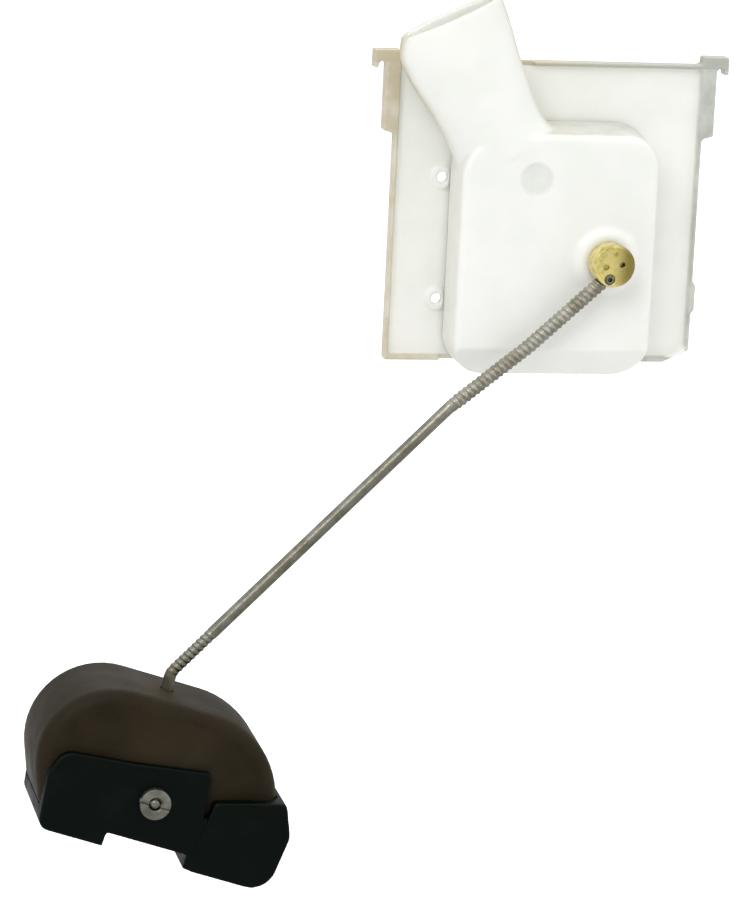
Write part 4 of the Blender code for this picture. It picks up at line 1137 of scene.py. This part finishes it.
def drawn_steel(name, bright, dull, plain_end=None):
    """Zinc-plated steel with drawing marks, painted shade in its grooves and on its underside; left of
    plain_end, an x in metres, it is duller.
    """
    look, tree, surface = new_look(name)
    place = place_on(tree)
    streaks = noise(tree, stretched(tree, place, (300.0, 900.0, 300.0)), 4.0, 4.0, 0.6)
    patches = noise(tree, place, 260.0, 4.0)
    colour = mixed(tree, between_values(tree, patches, 0.35, 0.7), bright, dull)
    colour = mixed(tree, between_values(tree, streaks, 0.5, 0.8, 0.0, 0.6), colour, (0.13, 0.12, 0.08))
    if plain_end is not None:
        fade = 0.006
        along = part_of(tree, place, "X")
        dulled = between_values(tree, along, plain_end + fade, plain_end - fade, 0.0, 0.5)
        colour = mixed(tree, dulled, colour, (0.07, 0.066, 0.045))
    geometry = add(tree, "ShaderNodeNewGeometry").outputs
    # Painted shade: faces turned downwards darken.
    painted_underside_shade = between_values(tree, part_of(tree, geometry["Normal"], "Z"), 0.35, -0.35, 0.0, 0.45)
    # Painted shade: the thread's grooves, found by pointiness, darken towards a dark brown.
    painted_groove_shade = between_values(tree, geometry["Pointiness"], 0.50, 0.44, 0.0, 0.85)
    plug(
        tree,
        surface,
        Base_Color=mixed(tree, calculate(tree, "MAXIMUM", painted_groove_shade, painted_underside_shade), colour, (0.05, 0.045, 0.025)),
        Metallic=1.0,
        Roughness=between_values(tree, streaks, 0.3, 0.7, 0.30, 0.48),
    )
    set_bump(tree, surface, streaks, 0.03, 0.5)
    return look


def float_ebonite():
    """Dark brown closed-cell ebonite with fine pores and a rubbed, slightly lighter skin."""
    look, tree, surface = new_look("float_ebonite")
    place = place_on(tree)
    patches = noise(tree, place, 60.0, 5.0, 0.6)
    shade = between_values(tree, patches, 0.3, 0.72)
    colour = mixed(tree, shade, (0.012, 0.0078, 0.0022), (0.021, 0.0145, 0.0058))
    edges = add(tree, "ShaderNodeNewGeometry").outputs["Pointiness"]
    worn = between_values(tree, edges, 0.505, 0.56, 0.0, 0.5)
    rubbed = noise(tree, stretched(tree, place, (1.0, 1.0, 3.0)), 500.0, 5.0, 0.7)
    scuffs = between_values(tree, rubbed, 0.6, 0.75, 0.0, 0.3)
    colour = mixed(tree, calculate(tree, "MAXIMUM", worn, scuffs), colour, (0.045, 0.034, 0.018))
    pores = add(tree, "ShaderNodeTexVoronoi", {"Vector": place, "Scale": 1400.0}).outputs["Distance"]
    plug(
        tree,
        surface,
        Base_Color=colour,
        Roughness=between_values(tree, patches, 0.3, 0.7, 0.45, 0.65),
        Specular_IOR_Level=0.12,
    )
    height = calculate(tree, "ADD", pores, calculate(tree, "MULTIPLY", patches, 1.5))
    set_bump(tree, surface, height, 0.12, 0.35)
    return look


def black_moulding(name, colour, worn_colour, roughness, grain_depth, specular):
    """Black plastic or rubber with a fine spark-eroded grain, rubbed paler on its edges."""
    look, tree, surface = new_look(name)
    place = place_on(tree)
    grain = noise(tree, place, 1500.0, 2.0, 0.6)
    patches = noise(tree, place, 110.0, 4.0)
    edges = add(tree, "ShaderNodeNewGeometry").outputs["Pointiness"]
    worn = between_values(tree, edges, 0.51, 0.58, 0.0, 0.7)
    dust = between_values(tree, patches, 0.45, 0.8, 0.0, 0.3)
    plug(
        tree,
        surface,
        Base_Color=mixed(tree, calculate(tree, "MAXIMUM", worn, dust), colour, worn_colour),
        Roughness=between_values(tree, patches, 0.3, 0.7, roughness - 0.08, roughness + 0.12),
        Specular_IOR_Level=specular,
    )
    set_bump(tree, surface, grain, grain_depth, 0.5)
    return look


def plain_moulding(name, colour, shade, roughness):
    """Small inner pieces of acetal or silicone: softly mottled and slightly grained."""
    look, tree, surface = new_look(name)
    place = place_on(tree)
    patches = noise(tree, place, 300.0, 4.0)
    plug(
        tree,
        surface,
        Base_Color=mixed(tree, between_values(tree, patches, 0.3, 0.7), colour, shade),
        Roughness=between_values(tree, patches, 0.3, 0.7, roughness, roughness + 0.15),
    )
    set_bump(tree, surface, noise(tree, place, 1800.0, 2.0), 0.03, 0.5)
    return look


def floor_look():
    look, tree, surface = new_look("studio_floor")
    place = place_on(tree)
    tone = mixed(tree, noise(tree, place, 3.0), (0.74, 0.74, 0.735), (0.76, 0.76, 0.755))
    seen = add(tree, "ShaderNodeLightPath").outputs["Is Camera Ray"]
    glow = calculate(tree, "MULTIPLY", seen, 0.5)
    plug(tree, surface, Base_Color=tone, Roughness=0.8, Emission_Color=(1.0, 1.0, 1.0, 1.0))
    tree.links.new(glow, surface.inputs["Emission Strength"])
    return look


# Stage

def make_floor(lowest):
    """Wide pale floor below the lowest point of the resting float."""
    mesh = bpy.data.meshes.new("studio_floor")
    shape = bmesh.new()
    bmesh.ops.create_grid(shape, x_segments=1, y_segments=1, size=25.0)
    shape.to_mesh(mesh)
    shape.free()
    floor = bpy.data.objects.new("studio_floor", mesh)
    floor.location = (0.0, 0.0, lowest - FLOOR_DROP)
    bpy.context.scene.collection.objects.link(floor)
    mesh.materials.append(floor_look())
    floor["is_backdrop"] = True


def make_light(name, place, aim, size, power):
    lamp = bpy.data.lights.new(name, "AREA")
    lamp.size = size
    lamp.energy = power
    light = bpy.data.objects.new(name, lamp)
    light.location = place
    light.rotation_euler = (Vector(place) - Vector(aim)).to_track_quat("Z", "Y").to_euler()
    bpy.context.scene.collection.objects.link(light)


def make_world(horizon, overhead):
    """Soft light from above that falls off towards a darker horizon, which gives the metals contrast."""
    world = bpy.data.worlds.new("soft_studio")
    world.use_nodes = True
    tree = world.node_tree
    direction = add(tree, "ShaderNodeTexCoord").outputs["Generated"]
    strength = between_values(tree, part_of(tree, direction, "Z"), 0.0, 0.6, horizon, overhead)
    tree.links.new(strength, tree.nodes["Background"].inputs["Strength"])
    tree.nodes["Background"].inputs["Color"].default_value = (1.0, 1.0, 1.0, 1.0)
    bpy.context.scene.world = world


def make_camera():
    """Camera that looks at LOOK_AT from the given angles; its roll turns it about its own axis."""
    azimuth, elevation, roll = CAMERA_AZIMUTH, CAMERA_ELEVATION, CAMERA_ROLL
    back = Vector((sin(azimuth) * cos(elevation), -cos(azimuth) * cos(elevation), sin(elevation)))
    level = Vector((cos(azimuth), sin(azimuth), 0.0))
    upright = back.cross(level)
    right = cos(roll) * level + sin(roll) * upright
    up = back.cross(right)
    turn = Matrix((right, up, back)).transposed().to_4x4()
    data = bpy.data.cameras.new("camera")
    data.lens = CAMERA_LENS
    data.clip_start = 0.05
    camera = bpy.data.objects.new("camera", data)
    camera.matrix_world = Matrix.Translation(LOOK_AT + back * CAMERA_DISTANCE) @ turn
    bpy.context.scene.collection.objects.link(camera)
    bpy.context.scene.camera = camera


def dress_cad_nodes(looks):
    """Gives every CAD node the look of its material slot, and smooths round pieces."""
    slots = {entry["node"]: entry["material_slot"] for entry in frame["record"]["subparts"]}
    for name, node in frame["nodes"].items():
        node.data.materials.clear()
        node.data.materials.append(looks[slots[name]])
        node.data.shade_smooth()
        node.data.set_sharp_from_angle(angle=radians(35))


def make_looks():
    """One look for each material slot, and the wire's and the plate's own variants of theirs."""
    spindle_axis = (SPINDLE_X * METRES_PER_MM, 0.0, SPINDLE_Z * METRES_PER_MM)
    brass = (0.80, 0.68, 0.25)
    # The tarnish colour also paints the spindle head's right side darker, as a painted reflection.
    tarnish = (0.15, 0.115, 0.02)
    shoe_black = (0.0004, 0.0024, 0.0013)
    rubbed_shoe = (0.008, 0.0105, 0.0095)
    return {
        "zinc_steel": drawn_steel("zinc_steel", (0.27, 0.28, 0.24), (0.14, 0.145, 0.12)),
        "rod_wire": drawn_steel("rod_wire", (0.46, 0.45, 0.39), (0.28, 0.265, 0.20), PLAIN_WIRE_X),
        "silicone_seal": plain_moulding("grey_silicone", (0.60, 0.58, 0.52), (0.50, 0.48, 0.42), 0.5),
        "brass": turned_metal("turned_brass", brass, tarnish, spindle_axis, 0.22, 0.7),
        "black_rubber": black_moulding("black_rubber", (0.02,) * 3, (0.06, 0.06, 0.055), 0.7, 0.04, 0.3),
        "white_acetal": plain_moulding("white_acetal", (0.82, 0.82, 0.78), (0.74, 0.74, 0.70), 0.35),
        "float_brown": float_ebonite(),
        "shoe_black": black_moulding("shoe_plastic", shoe_black, rubbed_shoe, 0.45, 0.06, 0.07),
        "plate": milky_plastic("milky_plate", plate_painted_edge_shade),
        "milky_housing": milky_plastic("milky_cover", cover_painted_edge_shade),
    }


def make_pieces(looks):
    make_plate(looks["plate"])
    make_cover(looks["milky_housing"])
    make_spindle(looks["brass"])
    make_clamp_screw(looks["zinc_steel"])
    make_rod(looks["rod_wire"])
    make_float(looks["float_brown"])
    make_shoe(looks["shoe_black"])
    make_float_washer(looks["zinc_steel"])
    make_float_screw(looks["zinc_steel"])
    make_float_nut(looks["zinc_steel"])


def make_studio():
    make_floor(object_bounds()[0].z)
    make_world(horizon=0.30, overhead=1.14)
    middle = (-0.04, 0.0, -0.06)
    make_light("key_light", (-0.9, -1.3, 1.1), middle, size=0.9, power=8.6)
    make_light("fill_light", (1.2, -0.9, 0.5), middle, size=1.2, power=2.2)
    make_light("back_light", (0.3, 1.2, 1.2), middle, size=1.2, power=4.8)
    make_camera()
    bpy.context.scene.view_settings.view_transform = "Standard"


def main():
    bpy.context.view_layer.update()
    looks = make_looks()
    dress_cad_nodes(looks)
    make_pieces(looks)
    make_studio()


main()
